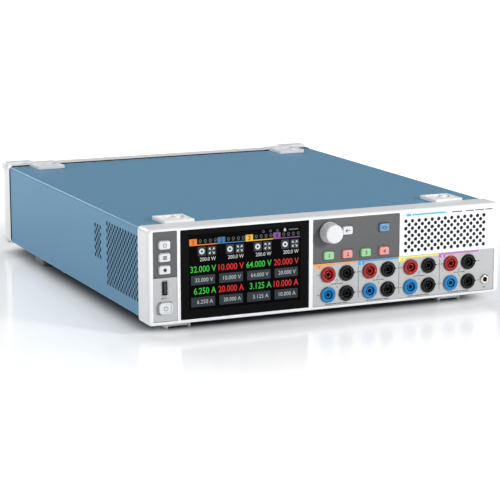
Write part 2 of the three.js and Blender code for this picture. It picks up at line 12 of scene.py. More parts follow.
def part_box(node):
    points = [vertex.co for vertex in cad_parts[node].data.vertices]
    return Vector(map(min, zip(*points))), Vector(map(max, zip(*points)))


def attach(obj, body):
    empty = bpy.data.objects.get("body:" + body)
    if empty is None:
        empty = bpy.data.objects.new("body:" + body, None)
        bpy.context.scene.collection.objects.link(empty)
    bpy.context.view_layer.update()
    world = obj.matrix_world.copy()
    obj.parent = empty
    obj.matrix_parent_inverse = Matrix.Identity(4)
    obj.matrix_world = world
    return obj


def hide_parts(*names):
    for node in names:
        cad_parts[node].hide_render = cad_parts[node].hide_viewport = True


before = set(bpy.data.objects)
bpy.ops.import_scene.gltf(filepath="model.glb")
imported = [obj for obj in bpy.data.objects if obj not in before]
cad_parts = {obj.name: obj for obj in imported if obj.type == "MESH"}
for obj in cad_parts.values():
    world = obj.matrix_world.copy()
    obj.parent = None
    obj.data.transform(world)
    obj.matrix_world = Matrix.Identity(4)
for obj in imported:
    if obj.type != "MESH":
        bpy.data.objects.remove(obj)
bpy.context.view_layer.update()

# ---- Camera -----------------------------------------------------------------------
# A long lens to the left of the front face and a little above it, set level but for a
# tenth of a degree of roll, and with no shift.
AZIMUTH, ELEVATION, ROLL = (math.radians(a) for a in (-23.782, 11.063, -0.121))
back = Vector((
    math.sin(AZIMUTH) * math.cos(ELEVATION),
    -math.cos(AZIMUTH) * math.cos(ELEVATION),
    math.sin(ELEVATION),
))
level = Vector((math.cos(AZIMUTH), math.sin(AZIMUTH), 0))
rise = back.cross(level)
right = math.cos(ROLL) * level + math.sin(ROLL) * rise
up = math.cos(ROLL) * rise - math.sin(ROLL) * level
lens = bpy.data.cameras.new("camera")
lens.sensor_width = 36
lens.lens = 138.457
lens.clip_end = 60
camera = bpy.data.objects.new("camera", lens)
camera.matrix_world = Matrix((right, up, back)).transposed().to_4x4()
camera.location = (-0.77169, -1.78358, 0.40700)
bpy.context.scene.collection.objects.link(camera)
bpy.context.scene.camera = camera

# ---- Floor, backdrop and lights ---------------------------------------------------
# A white lacquered table top that runs out of sight, in a white room. Soft boxes hang
# overhead, at the left and behind, and a small key box and a long low one face the front.
bpy.context.scene.view_settings.view_transform = "Standard"


def new_material(name):
    """A material with its nodes on, and its node tree and Principled shader."""
    made = bpy.data.materials.new(name)
    made.use_nodes = True
    tree = made.node_tree
    return made, tree, tree.nodes["Principled BSDF"]


def wire(tree, source, target):
    """Joins an output socket to an input socket."""
    tree.links.new(source, target)


FLOOR_REACH = 12.0
floor_mesh = bpy.data.meshes.new("floor")
floor_corners = np.array([(-1, -1, 0), (1, -1, 0), (1, 1, 0), (-1, 1, 0)]) * FLOOR_REACH
floor_mesh.from_pydata(floor_corners, [], [(0, 1, 2, 3)])
floor = bpy.data.objects.new("floor", floor_mesh)
bpy.context.scene.collection.objects.link(floor)
lacquer, tree, shader = new_material("table_lacquer")
shader.inputs["Roughness"].default_value = 0.14
shader.inputs["Specular IOR Level"].default_value = 0.3
shader.inputs["Emission Color"].default_value = (1, 1, 1, 1)
# The table glows, a painted light, more the further it is from the cabinet's footprint, so that
# it meets the white room, and its dim band close round the footprint is a painted soft shadow:
# the glow follows the length of how far a point lies outside a box.
FOOTPRINT_MIDDLE, FOOTPRINT_HALF = (0, 0.019, 0), (0.146, 0.191, 0)
spot = tree.nodes.new("ShaderNodeTexCoord")
steps = [spot.outputs["Object"]]
for operation, value in (
    ("SUBTRACT", FOOTPRINT_MIDDLE), ("ABSOLUTE", None), ("SUBTRACT", FOOTPRINT_HALF),
    ("MAXIMUM", (0, 0, 0)), ("LENGTH", None),
):
    node = tree.nodes.new("ShaderNodeVectorMath")
    node.operation = operation
    if value:
        node.inputs[1].default_value = value
    wire(tree, steps[-1], node.inputs[0])
    steps.append(node.outputs["Value" if operation == "LENGTH" else "Vector"])
# Each glow starts near the footprint, is full far from it, and adds at most so much.
GLOWS = ((0.014, 0.046, 0.36), (0.02, 0.44, 0.55))
sum_of_glows = tree.nodes.new("ShaderNodeMath")
for k, (near, far, most) in enumerate(GLOWS):
    glow = tree.nodes.new("ShaderNodeMapRange")
    glow.interpolation_type = "SMOOTHSTEP"
    glow.inputs["From Min"].default_value = near
    glow.inputs["From Max"].default_value = far
    glow.inputs["To Max"].default_value = most
    wire(tree, steps[-1], glow.inputs["Value"])
    wire(tree, glow.outputs["Result"], sum_of_glows.inputs[k])
wire(tree, sum_of_glows.outputs[0], shader.inputs["Emission Strength"])
# Under the cabinet the table's colour is darkened: a painted shade.
shade = tree.nodes.new("ShaderNodeMix")
shade.data_type = "RGBA"
shade.inputs["A"].default_value = (0.085, 0.088, 0.092, 1)
shade.inputs["B"].default_value = (0.62, 0.63, 0.64, 1)
under = tree.nodes.new("ShaderNodeMapRange")
under.interpolation_type = "SMOOTHSTEP"
under.inputs["From Max"].default_value = 0.042
wire(tree, steps[-1], under.inputs["Value"])
wire(tree, under.outputs["Result"], shade.inputs["Factor"])
wire(tree, shade.outputs["Result"], shader.inputs["Base Color"])
floor_mesh.materials.append(lacquer)

world = bpy.data.worlds.new("studio")
world.use_nodes = True
room = world.node_tree.nodes["Background"]
room.inputs["Color"].default_value = (0.96, 0.98, 1.0, 1)
room.inputs["Strength"].default_value = 0.20
seen = world.node_tree.nodes.new("ShaderNodeBackground")
seen.inputs["Strength"].default_value = 1.1
which = world.node_tree.nodes.new("ShaderNodeMixShader")
path = world.node_tree.nodes.new("ShaderNodeLightPath")
wire(world.node_tree, path.outputs["Is Camera Ray"], which.inputs[0])
wire(world.node_tree, room.outputs[0], which.inputs[1])
wire(world.node_tree, seen.outputs[0], which.inputs[2])
wire(world.node_tree, which.outputs[0], world.node_tree.nodes["World Output"].inputs["Surface"])
bpy.context.scene.world = world


def soft_box(name, place, aim, size, watts):
    """A square area light at one point that faces another."""
    lamp = bpy.data.lights.new(name, "AREA")
    lamp.shape = "RECTANGLE"
    lamp.size, lamp.size_y = size
    lamp.energy = watts
    holder = bpy.data.objects.new(name, lamp)
    holder.location = place
    holder.rotation_euler = (Vector(aim) - Vector(place)).to_track_quat("-Z", "Y").to_euler()
    bpy.context.scene.collection.objects.link(holder)


soft_box("overhead_box", (0.2, 0.5, 2.4), (0, 0.1, 0), (1.4, 1.4), 20)
soft_box("left_box", (-2.2, 0.5, 0.8), (-0.1, 0.1, 0.05), (1.4, 1.0), 15)
soft_box("key_box", (1.3, -2.2, 0.95), (0, -0.2, 0.05), (0.4, 0.4), 46)
soft_box("low_box", (-0.3, -2.3, 0.14), (0, 0, 0.03), (1.8, 0.24), 4)
soft_box("back_box", (-0.65, 3.1, 1.35), (0, 0, 0.05), (1.2, 0.5), 40)

# ---- Front bezel ------------------------------------------------------------------
# The white frame round the front: one injection moulding with a rounded front edge,
# four windows with ledges for the panels, and the air grille moulded through it.
DATUM = np.array([0.0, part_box("front_bezel")[0].y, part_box("front_bezel")[0].z]) * 1000


def span(node):
    """Lowest and highest corners of a CAD node in cabinet millimetres."""
    return [np.array(corner) * 1000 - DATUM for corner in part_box(node)]


def middle(node):
    """The middle of a CAD node's box in cabinet millimetres."""
    lo, hi = span(node)
    return (lo + hi) / 2


def ring_faces(rows, count, loop):
    """Four-sided faces between neighbouring rings, and a face over each open end."""
    index = np.arange(rows * count).reshape(rows, count)
    here = index if loop else index[:-1]
    there = np.roll(index, -1, 0) if loop else index[1:]
    quads = np.stack([here, np.roll(here, -1, 1), np.roll(there, -1, 1), there], -1)
    faces = quads.reshape(-1, 4).tolist()
    if not loop:
        faces += [index[0, ::-1].tolist(), index[-1].tolist()]
    return faces


def skin(name, *stacks, loop=False, smooth=35):
    """Makes one mesh from stacks of closed rings, each an array (..., rings, points, 3):
    every ring is joined to the next, and the ends are capped or, in a loop, joined."""
    places, faces, start = [], [], 0
    for stack in stacks:
        shells = stack.reshape(-1, *stack.shape[-3:])
        pattern = ring_faces(*shells.shape[1:3], loop)
        for shell in shells:
            places.append(shell.reshape(-1, 3))
            faces += [[start + i for i in face] for face in pattern]
            start += len(places[-1])
    mesh = bpy.data.meshes.new(name)
    mesh.from_pydata((np.concatenate(places) + DATUM) / 1000, [], faces)
    shape = bmesh.new()
    shape.from_mesh(mesh)
    bmesh.ops.recalc_face_normals(shape, faces=shape.faces)
    shape.to_mesh(mesh)
    shape.free()
    soften(mesh, smooth)
    made = bpy.data.objects.new(name, mesh)
    bpy.context.scene.collection.objects.link(made)
    return made


def soften(mesh, degrees):
    """Shades the mesh smooth, but keeps edges sharper than the angle crisp."""
    mesh.shade_smooth()
    mesh.set_sharp_from_angle(angle=math.radians(degrees))


def rounded(x0, x1, z0, z1, radius, profile, steps=7, hold=0.25):
    """One rounded rectangle for each (inset, depth) pair of the profile: its corners are
    quarter circles of the radius less the inset, and a point a little way along each
    straight side keeps the flats flat."""
    inset, depth = np.array(profile, float).T[:, :, None]
    turns = np.concatenate([[0], np.linspace(0, math.pi / 2, steps + 1), [math.pi / 2]])
    slide = np.tile(np.concatenate([[-hold], np.zeros(steps + 1), [hold]]), 4)
    angle = np.concatenate([turns + k * math.pi / 2 for k in range(4)])
    east = np.repeat([1, -1, -1, 1], steps + 3)
    north = np.repeat([1, 1, -1, -1], steps + 3)
    r = np.maximum(radius - inset, 0.15)
    x = np.where(east > 0, x1 - inset - r, x0 + inset + r) + r * np.cos(angle)
    z = np.where(north > 0, z1 - inset - r, z0 + inset + r) + r * np.sin(angle)
    x = x - slide * np.sin(angle)
    z = z + slide * np.cos(angle)
    return np.stack([x, depth + 0 * x, z], -1)


def eased(points, radius, steps=3):
    """Rounds the inner corners of a line of points: each corner is replaced by a curve
    that leaves one side and meets the next at the radius from the corner."""
    points = np.array(points, float)
    before, corner, after = points[:-2], points[1:-1], points[2:]
    back_way, on_way = before - corner, after - corner
    back_length = np.linalg.norm(back_way, axis=1, keepdims=True)
    on_length = np.linalg.norm(on_way, axis=1, keepdims=True)
    reach = np.minimum(radius, 0.45 * np.minimum(back_length, on_length))
    a = (corner + back_way / back_length * reach)[:, None]
    b = (corner + on_way / on_length * reach)[:, None]
    t = np.linspace(0, 1, steps + 1)[None, :, None]
    curve = (1 - t) ** 2 * a + 2 * t * (1 - t) * corner[:, None] + t**2 * b
    return np.concatenate([points[:1], curve.reshape(-1, points.shape[1]), points[-1:]])


def carve(piece, *tools, operation="DIFFERENCE", smooth=35):
    """Cuts the tools out of the piece, or joins them to it, and keeps the result."""
    for tool in tools:
        step = piece.modifiers.new("carve", "BOOLEAN")
        step.operation = operation
        step.solver = "MANIFOLD"
        step.object = tool
        depsgraph = bpy.context.evaluated_depsgraph_get()
        made = bpy.data.meshes.new_from_object(piece.evaluated_get(depsgraph))
        piece.modifiers.clear()
        piece.data = made
        bpy.data.objects.remove(tool)
    soften(piece.data, smooth)
    return piece


def bevel(piece, width, segments=2, degrees=40):
    """Breaks the piece's sharp edges by a few tenths of a millimetre."""
    step = piece.modifiers.new("edges", "BEVEL")
    step.width = width / 1000
    step.segments = segments
    step.limit_method = "ANGLE"
    step.angle_limit = math.radians(degrees)
    step.harden_normals = True
    step.use_clamp_overlap = True
    return piece


def fit(piece, material, body="case", stands_for=()):
    """Gives the piece its finish, its body and the nodes that it stands for."""
    piece.data.materials.clear()
    piece.data.materials.append(material)
    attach(piece, body)
    if stands_for:
        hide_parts(*stands_for)
    return piece


def grain_group():
    """Fine grain and slow drift from noise in the piece's own place: the height of a
    spark-eroded or sprayed surface, and a mask that wanders over centimetres."""
    group = bpy.data.node_groups.new("grain_and_drift", "ShaderNodeTree")
    for label, value in (("Grain Scale", 2500.0), ("Drift Scale", 18.0)):
        entry = group.interface.new_socket(label, in_out="INPUT", socket_type="NodeSocketFloat")
        entry.default_value = value
    for label in ("Grain", "Drift"):
        group.interface.new_socket(label, in_out="OUTPUT", socket_type="NodeSocketFloat")
    nodes = group.nodes
    inlet, outlet = nodes.new("NodeGroupInput"), nodes.new("NodeGroupOutput")
    place = nodes.new("ShaderNodeTexCoord")
    for label, detail in (("Grain", 2.0), ("Drift", 5.0)):
        noise = nodes.new("ShaderNodeTexNoise")
        noise.inputs["Detail"].default_value = detail
        wire(group, place.outputs["Object"], noise.inputs["Vector"])
        wire(group, inlet.outputs[label + " Scale"], noise.inputs["Scale"])
        wire(group, noise.outputs["Fac"], outlet.inputs[label])
    return group


GRAIN_AND_DRIFT = grain_group()


def finish(name, light, dark, rough, grain=(2500.0, 0.06), drift=18.0, **fixed):
    """A material between two close shades and two roughnesses that drift together, with
    a fine bump. Values that are the same all over are set on the shader itself."""
    made, tree, shader = new_material(name)
    effect = tree.nodes.new("ShaderNodeGroup")
    effect.node_tree = GRAIN_AND_DRIFT
    effect.inputs["Grain Scale"].default_value = grain[0]
    effect.inputs["Drift Scale"].default_value = drift
    shade = tree.nodes.new("ShaderNodeMix")
    shade.data_type = "RGBA"
    shade.inputs["A"].default_value = (*light, 1)
    shade.inputs["B"].default_value = (*dark, 1)
    gloss = tree.nodes.new("ShaderNodeMapRange")
    gloss.inputs["From Min"].default_value = 0.3
    gloss.inputs["From Max"].default_value = 0.7
    gloss.inputs["To Min"].default_value, gloss.inputs["To Max"].default_value = rough
    bump = tree.nodes.new("ShaderNodeBump")
    bump.inputs["Strength"].default_value = grain[1]
    bump.inputs["Distance"].default_value = 0.0002
    wire(tree, effect.outputs["Drift"], shade.inputs["Factor"])
    wire(tree, effect.outputs["Drift"], gloss.inputs["Value"])
    wire(tree, effect.outputs["Grain"], bump.inputs["Height"])
    wire(tree, shade.outputs["Result"], shader.inputs["Base Color"])
    wire(tree, gloss.outputs["Result"], shader.inputs["Roughness"])
    wire(tree, bump.outputs["Normal"], shader.inputs["Normal"])
    for label, value in fixed.items():
        shader.inputs[label.replace("_", " ")].default_value = value
    return made


white_moulding = finish(
    "white_moulding", (0.80, 0.81, 0.82), (0.74, 0.75, 0.77), (0.34, 0.46), drift=24.0
)

BEZEL_ROUND = 2.4
bezel_lo, bezel_hi = span("front_bezel")
arc = np.linspace(0, math.pi / 2, 8)
edge = np.stack([BEZEL_ROUND * (1 - np.cos(arc)), BEZEL_ROUND * (1 - np.sin(arc))], 1)
bezel_profile = [(0.3, 25.0), (0, 24.7), (0, 3.0), *edge, (3.0, 0)]
BEZEL_WALL, FRONT_WALL, LEDGE, WINDOW_DEPTH = 3.0, 4.6, 1.5, 2.7
bezel_edges = (bezel_lo[0], bezel_hi[0], bezel_lo[2], bezel_hi[2])
front_bezel = skin("bezel", rounded(*bezel_edges, 4.0, bezel_profile))
hollow_edges = (
    bezel_lo[0] + BEZEL_WALL,
    bezel_hi[0] - BEZEL_WALL,
    bezel_lo[2] + BEZEL_WALL,
    bezel_hi[2] - BEZEL_WALL,
)
hollow = skin("bezel_hollow", rounded(*hollow_edges, 1.2, [(0, 26), (0, FRONT_WALL)]))
# Each window: left, right, bottom, top.
LEFT_WINDOW = (-175.6, -152.4, 3.2, 85.7)
GLASS_WINDOW = (-149.4, -21.9, 3.2, 85.5)
CONTROL_WINDOW = (-18.0, 72.2, 43.5, 85.3)
TERMINAL_WINDOW = (-18.0, 175.2, 2.8, 43.5)
WINDOWS = (LEFT_WINDOW, GLASS_WINDOW, CONTROL_WINDOW, TERMINAL_WINDOW)
seats = [rounded(*w, 0.8, [(0, -1), (0, WINDOW_DEPTH)]) for w in WINDOWS]
mouths = [rounded(*w, 0.8, [(LEDGE, 1), (LEDGE, FRONT_WALL + 1)]) for w in WINDOWS]
# The control and terminal windows share an edge, so their seats are cut in two passes.
cuts = [
    hollow,
    skin("seats_a", *seats[:3]),
    skin("seats_b", seats[3]),
    skin("mouths", *mouths),
]


def rods(radius, depths, centres, sides=12):
    """Round rods front to back, one at each centre (x, z): a circle at each depth."""
    angle = np.linspace(0, 2 * math.pi, sides, endpoint=False)
    circle = np.stack([radius * np.cos(angle), 0 * angle, radius * np.sin(angle)], -1)
    stack = circle + np.array([(0, y, 0) for y in depths])[:, None]
    centres = np.array(centres, float)
    offsets = np.stack([centres[:, 0], 0 * centres[:, 0], centres[:, 1]], -1)
    return stack[None] + offsets[:, None, None]


def staggered(a, b, pitch_a, pitch_b, count_a, count_b):
    """Two square grids of points, the second half a pitch on and between the first."""
    points = []
    for shift in (0, 1):
        i, j = np.meshgrid(np.arange(count_a - shift), np.arange(count_b - shift))
        along, down = a + pitch_a * (i + shift / 2), b - pitch_b * (j + shift / 2)
        points.append(np.stack([along, down], -1))
    return np.concatenate([p.reshape(-1, 2) for p in points])


GRILLE_PITCH, GRILLE_HOLE, GRILLE_WALL = 7.04, 1.85, 0.8
grille = staggered(78.7, 76.8, GRILLE_PITCH, GRILLE_PITCH, 13, 5)
thinned = [(0, GRILLE_WALL), (0, FRONT_WALL + 1)]
cuts.append(skin("grille_thinning", rounded(75.0, 167.0, 45.5, 81.0, 1.0, thinned)))
cuts.append(skin("grille_holes", rods(GRILLE_HOLE, (-1, FRONT_WALL + 1), grille, 14)))
carve(front_bezel, *cuts)
bevel(front_bezel, 0.22)
fit(front_bezel, white_moulding, stands_for=["front_bezel"])

# A near-black sheet behind the grille darkens what shows through its holes: a painted shade.
grille_shade_sheet = finish(
    "grille_shade_sheet", (0.012, 0.012, 0.013), (0.007, 0.007, 0.008), (0.8, 0.95),
    grain=(1800.0, 0.5),
)
grille_shade_rows = [
    (0.3, GRILLE_WALL + 1.2), (0, GRILLE_WALL + 1.0),
    (0, GRILLE_WALL + 0.2), (0.2, GRILLE_WALL + 0.05),
]
grille_painted_shade = skin("grille_painted_shade", rounded(75.5, 166.5, 46.0, 80.5, 1.0, grille_shade_rows))
fit(grille_painted_shade, grille_shade_sheet)

# ---- Panels -----------------------------------------------------------------------
# Printed polycarbonate films on stiff plates, dropped into the windows: dark grey
# behind the keys, light grey behind the ports and sockets, with round-cornered holes.
PANEL_FACE, PANEL_BACK, KEY_GAP = 0.4, 2.4, 0.35
LEFT_KEYS = ("home_key", "menu_key", "settings_key")
CHANNEL_KEYS = tuple(f"channel_{n}_key" for n in (1, 2, 3, 4))

dark_film = finish(
    "dark_film", (0.084, 0.085, 0.087), (0.076, 0.077, 0.079), (0.42, 0.55),
    grain=(4200.0, 0.10), drift=9.0,
)
light_film = finish(
    "light_film", (0.455, 0.460, 0.465), (0.425, 0.430, 0.437), (0.42, 0.55),
    grain=(4200.0, 0.10), drift=9.0,
)

KEY_SIZES = {
    **{key: (11.5, 8.4) for key in LEFT_KEYS},
    **{key: (10.9, 8.3) for key in (*CHANNEL_KEYS, "back_key", "output_key")},
    "standby_key": (12.6, 10.4),
}


def key_edges(key, gap=0.0):
    """Left, right, bottom and top of a key's cap, grown by a gap."""
    x, _, z = middle(key)
    half_width, half_height = (side / 2 + gap for side in KEY_SIZES[key])
    return x - half_width, x + half_width, z - half_height, z + half_height


def film(name, node, material, key_holes=(), round_holes=()):
    """A flat panel as large as its node, with a hole for each key and socket."""
    lo, hi = span(node)
    profile = eased([(0, PANEL_BACK), (0, PANEL_FACE), (1.5, PANEL_FACE)], 0.15)
    made = skin(name, rounded(lo[0], hi[0], lo[2], hi[2], 0.6, profile))
    tools = []
    if key_holes:
        holes = [rounded(*edges, 1.9, [(0, -1), (0, 3)]) for edges in key_holes]
        tools.append(skin(name + "_keys", *holes))
    if round_holes:
        holes = [rods(r, (-1, 3), [(x, z)], 28) for x, z, r in round_holes]
        tools.append(skin(name + "_rounds", *holes))
    carve(made, *tools)
    return fit(made, material, stands_for=[node])


usb_lo, usb_hi = span("usb_socket")
usb_hole = (usb_lo[0] - 0.3, usb_hi[0] + 0.3, usb_lo[2] - 0.3, usb_hi[2] + 0.3)
knob_x, _, knob_z = middle("rotary_knob")
film(
    "left_key_film", "left_key_panel", dark_film,
    key_holes=[key_edges(key, KEY_GAP) for key in LEFT_KEYS],
)
film(
    "left_port_film", "left_port_panel", light_film,
    key_holes=[key_edges("standby_key", KEY_GAP), usb_hole],
)
film(
    "control_film", "control_panel", dark_film,
    key_holes=[key_edges(key, KEY_GAP) for key in (*CHANNEL_KEYS, "back_key", "output_key")],
    round_holes=[(knob_x, knob_z, 3.8)],
)
SOCKET_KINDS = {"plus": "red", "minus": "blue", "sense_plus": "black", "sense_minus": "black"}
SOCKETS = [f"channel_{n}_{kind}_socket" for n in (1, 2, 3, 4) for kind in SOCKET_KINDS]
film(
    "terminal_film", "terminal_panel", light_film,
    round_holes=[(*middle(s)[[0, 2]], 6.0) for s in SOCKETS]
    + [(*middle("earth_socket")[[0, 2]], 3.5)],
)

# ---- Printing on the panels -------------------------------------------------------
# Screen-printed ink, a few hundredths thick: a coloured band and a numbered tag for
# each output, thin rules between them, and plain marks beside the sockets and port.
INK = 0.03


def plate(edges, radius, face, thick=INK):
    """A thin round-cornered plate whose front stands at a depth."""
    return rounded(*edges, radius, [(0, face + thick), (0, face)], steps=4, hold=0.05)


def stroke(points, width, face, thick=INK):
    """A flat ribbon along a line of (x, z) points: each ring is a small rectangle set
    across the line, half the width to each side of it along the mean normal."""
    points = np.array(points, float)
    way = np.gradient(points, axis=0)
    if np.allclose(points[0], points[-1]):
        way[0] = way[-1] = way[0] + way[-1]
    way /= np.linalg.norm(way, axis=1, keepdims=True)
    side = np.stack([-way[:, 1], way[:, 0]], 1) * width / 2
    one_side, other = points + side, points - side
    rear = face + thick
    ring = []
    for line, depth in ((one_side, face), (other, face), (other, rear), (one_side, rear)):
        ring.append(np.stack([line[:, 0], 0 * line[:, 0] + depth, line[:, 1]], -1))
    return np.stack(ring, 1)


def circle(x, z, radius, start=0.0, stop=360.0, steps=28):
    """Points of a circular arc between two angles in degrees."""
    angle = np.radians(np.linspace(start, stop, steps))
    return np.stack([x + radius * np.cos(angle), z + radius * np.sin(angle)], 1)


def glyphs(text, x, z, height, face, width=None, align="LEFT", weight=0.0, thick=INK):
    """The mesh of a line of figures, standing on z at the face, as (points, faces): it
    is scaled to the height and width, and placed by its left, right or middle."""
    line = bpy.data.curves.new("figures", "FONT")
    line.body = text
    line.resolution_u = 3
    line.offset = weight
    line.extrude = 0.5
    holder = bpy.data.objects.new("figures", line)
    bpy.context.scene.collection.objects.link(holder)
    depsgraph = bpy.context.evaluated_depsgraph_get()
    mesh = bpy.data.meshes.new_from_object(holder.evaluated_get(depsgraph))
    bpy.data.objects.remove(holder)
    flat = np.zeros(len(mesh.vertices) * 3)
    mesh.vertices.foreach_get("co", flat)
    flat = flat.reshape(-1, 3)
    faces = [list(f.vertices) for f in mesh.polygons]
    lo, hi = flat.min(0), flat.max(0)
    tall = height / (hi[1] - lo[1])
    wide = tall if width is None else width / (hi[0] - lo[0])
    run = (hi[0] - lo[0]) * wide
    start = {"LEFT": x, "RIGHT": x - run, "CENTER": x - run / 2}[align]
    points = np.stack([
        start + (flat[:, 0] - lo[0]) * wide,
        face + thick * (0.5 - flat[:, 2]),
        z + (flat[:, 1] - lo[1]) * tall,
    ], -1)
    return points, faces


def printed(name, material, stacks=(), lines=(), body="case"):
    """One piece from ring stacks and lines of figures, all in one ink."""
    made = skin(name, *stacks) if stacks else None
    if lines:
        places, faces, start = [], [], 0
        for points, polygons in lines:
            places.append(points)
            faces += [[start + i for i in polygon] for polygon in polygons]
            start += len(points)
        mesh = bpy.data.meshes.new(name)
        mesh.from_pydata((np.concatenate(places) + DATUM) / 1000, [], faces)
        shape = bmesh.new()
        shape.from_mesh(mesh)
        bmesh.ops.remove_doubles(shape, verts=shape.verts, dist=1e-7)
        if made:
            shape.from_mesh(made.data)
            bpy.data.objects.remove(made)
        shape.to_mesh(mesh)
        shape.free()
        soften(mesh, 30)
        made = bpy.data.objects.new(name, mesh)
        bpy.context.scene.collection.objects.link(made)
    return fit(made, material, body)


def ink(name, colour):
    """Slightly uneven matt screen ink."""
    dark = [0.9 * c for c in colour]
    return finish(name, colour, dark, (0.45, 0.6), grain=(6000.0, 0.05), drift=60.0)


BAND_COLOURS = {
    "orange": (0.86, 0.30, 0.06),
    "blue": (0.05, 0.29, 0.58),
    "yellow": (0.86, 0.76, 0.12),
    "purple": (0.52, 0.12, 0.48),
}
BANDS = {
    "orange": ((-17.6, 29.1), (-14.4, -7.9)),
    "blue": ((29.4, 71.6), (28.8, 35.8)),
    "yellow": ((71.9, 115.0), (71.7, 78.8)),
    "purple": ((115.3, 158.2), (114.5, 122.0)),
}
TAG_TEXT = {
    "orange": (0.25, 0.05, 0),
    "blue": (0.85, 0.93, 1),
    "yellow": (0.2, 0.16, 0),
    "purple": (0.95, 0.85, 0.95),
}
PRINT_FACE = PANEL_FACE - INK
for number, (colour, (band, tag)) in enumerate(BANDS.items(), 1):
    parts = [
        plate((*band, 41.5, 43.0), 0.2, PRINT_FACE),
        plate((*tag, 38.6, 42.2), 0.5, PRINT_FACE - INK),
    ]
    band_ink = ink(f"{colour}_ink", BAND_COLOURS[colour])
    printed(f"output_{number}_band", band_ink, parts)
    figure = glyphs(str(number), sum(tag) / 2, 39.3, 2.4, PRINT_FACE - 2 * INK, align="CENTER")
    figure_ink = ink(f"{colour}_figure_ink", TAG_TEXT[colour])
    printed(f"output_{number}_figure", figure_ink, lines=[figure])

grey_ink = ink("grey_ink", (0.045, 0.045, 0.05))
pale_ink = ink("pale_ink", (0.17, 0.17, 0.18))
rules = [stroke([(x, 7.9), (x, 37.8)], 0.75, PRINT_FACE) for x in (29.3, 72.1, 115.6)]
marks = []
for socket in SOCKETS:
    x, _, z = middle(socket)
    if "sense" in socket:
        rules.append(stroke([(x + 8.9, z), (x + 10.6, z)], 0.55, PRINT_FACE))
        sign_x = x + 11.9
    else:
        sign_x = x - 9.9
    marks.append(stroke([(sign_x - 0.8, z), (sign_x + 0.8, z)], 0.55, PRINT_FACE))
    if "plus" in socket:
        marks.append(stroke([(sign_x, z - 0.8), (sign_x, z + 0.8)], 0.55, PRINT_FACE - INK))
plus_x, _, plus_z = middle("channel_1_plus_socket")
minus_z = middle("channel_1_minus_socket")[2]
CHANNEL_PITCH = middle("channel_2_plus_socket")[0] - plus_x


def dashes(x0, x1, z, height):
    """A row of short bars of uneven length, where a maker prints a line of small type."""
    lengths = np.tile([1.5, 0.8, 1.9, 1.1, 0.6, 1.6], 8)
    ends = np.cumsum(lengths + 0.45)
    return [
        plate((x0 + end - length, x0 + end, z, z + height), 0.15, PRINT_FACE)
        for end, length in zip(ends, lengths) if x0 + end < x1
    ]


# Between each output's sockets, a ring over a line of type over an earth bar.
for n in range(4):
    x = plus_x + n * CHANNEL_PITCH + 9.5
    between = (plus_z + minus_z) / 2
    marks.append(stroke(circle(x, between + 2.9, 1.2), 0.4, PRINT_FACE))
    marks += dashes(x - 6.2, x + 6.6, between - 0.4, 0.95)
    marks.append(stroke([(x, between - 3.6), (x, between - 2.0)], 0.4, PRINT_FACE))
    bar = [(x - 0.8, between - 2.8), (x + 0.8, between - 2.8)]
    marks.append(stroke(bar, 0.4, PRINT_FACE - INK))
    marks += dashes(x - 12.5, x + 13.0, minus_z - 9.6, 1.0)
earth_x, _, earth_z = middle("earth_socket")
for level_z, half in ((6.6, 2.0), (5.9, 1.3), (5.2, 0.6)):
    bar = [(earth_x - half, level_z), (earth_x + half, level_z)]
    marks.append(stroke(bar, 0.3, PRINT_FACE))
marks.append(stroke([(earth_x, 6.6), (earth_x, 8.0)], 0.3, PRINT_FACE))
port_x, _, port_z = middle("usb_socket")
TREE_Z = 24.9
branch = [(port_x - 1.4, TREE_Z), (port_x + 0.2, 26.2), (port_x + 1.5, 26.2)]
marks.append(stroke([(port_x - 2.6, TREE_Z), (port_x + 2.6, TREE_Z)], 0.35, PRINT_FACE))
marks.append(stroke(branch, 0.3, PRINT_FACE - INK))
marks.append(stroke(circle(port_x - 2.4, TREE_Z, 0.45, steps=14), 0.5, PRINT_FACE - INK))
printed("panel_rules", pale_ink, rules)
printed("panel_marks", grey_ink, marks)

# Plain bars on the frame, where a maker prints a name.
BEZEL_PRINT = -INK
GREY_BARS = ((128, 139.5), (143, 152), (153.5, 163), (164.5, 172.5))
blue_bars = [
    plate((79.2, 84.0, 81.2, 83.8), 0.3, BEZEL_PRINT),
    plate((85.4, 121.5, 81.7, 83.3), 0.5, BEZEL_PRINT),
]
grey_bars = [plate((a, b, 81.7, 82.7), 0.4, BEZEL_PRINT) for a, b in GREY_BARS]
printed("bezel_blue_bar", ink("cyan_ink", (0.03, 0.45, 0.75)), blue_bars)
printed("bezel_grey_bars", grey_ink, grey_bars)

# ---- Display ----------------------------------------------------------------------
# A sheet of toughened glass, black printed at the rim, over a backlit colour panel. The
# lit figures and tiles lie on the glass's face, in four columns, one to an output.
glass = finish(
    "display_black_glass", (0.0026, 0.0026, 0.0028), (0.0036, 0.0036, 0.0038), (0.05, 0.09),
    grain=(900.0, 0.004), drift=7.0, Specular_IOR_Level=0.05,
)
glass_lo, glass_hi = span("display_glass")
glass_profile = eased([(0, glass_hi[1]), (0, glass_lo[1]), (2, glass_lo[1])], 0.3)
glass_edges = (glass_lo[0], glass_hi[0], glass_lo[2], glass_hi[2])
fit(
    skin("display_cover", rounded(*glass_edges, 1.0, glass_profile)),
    glass, stands_for=["display_glass"],
)


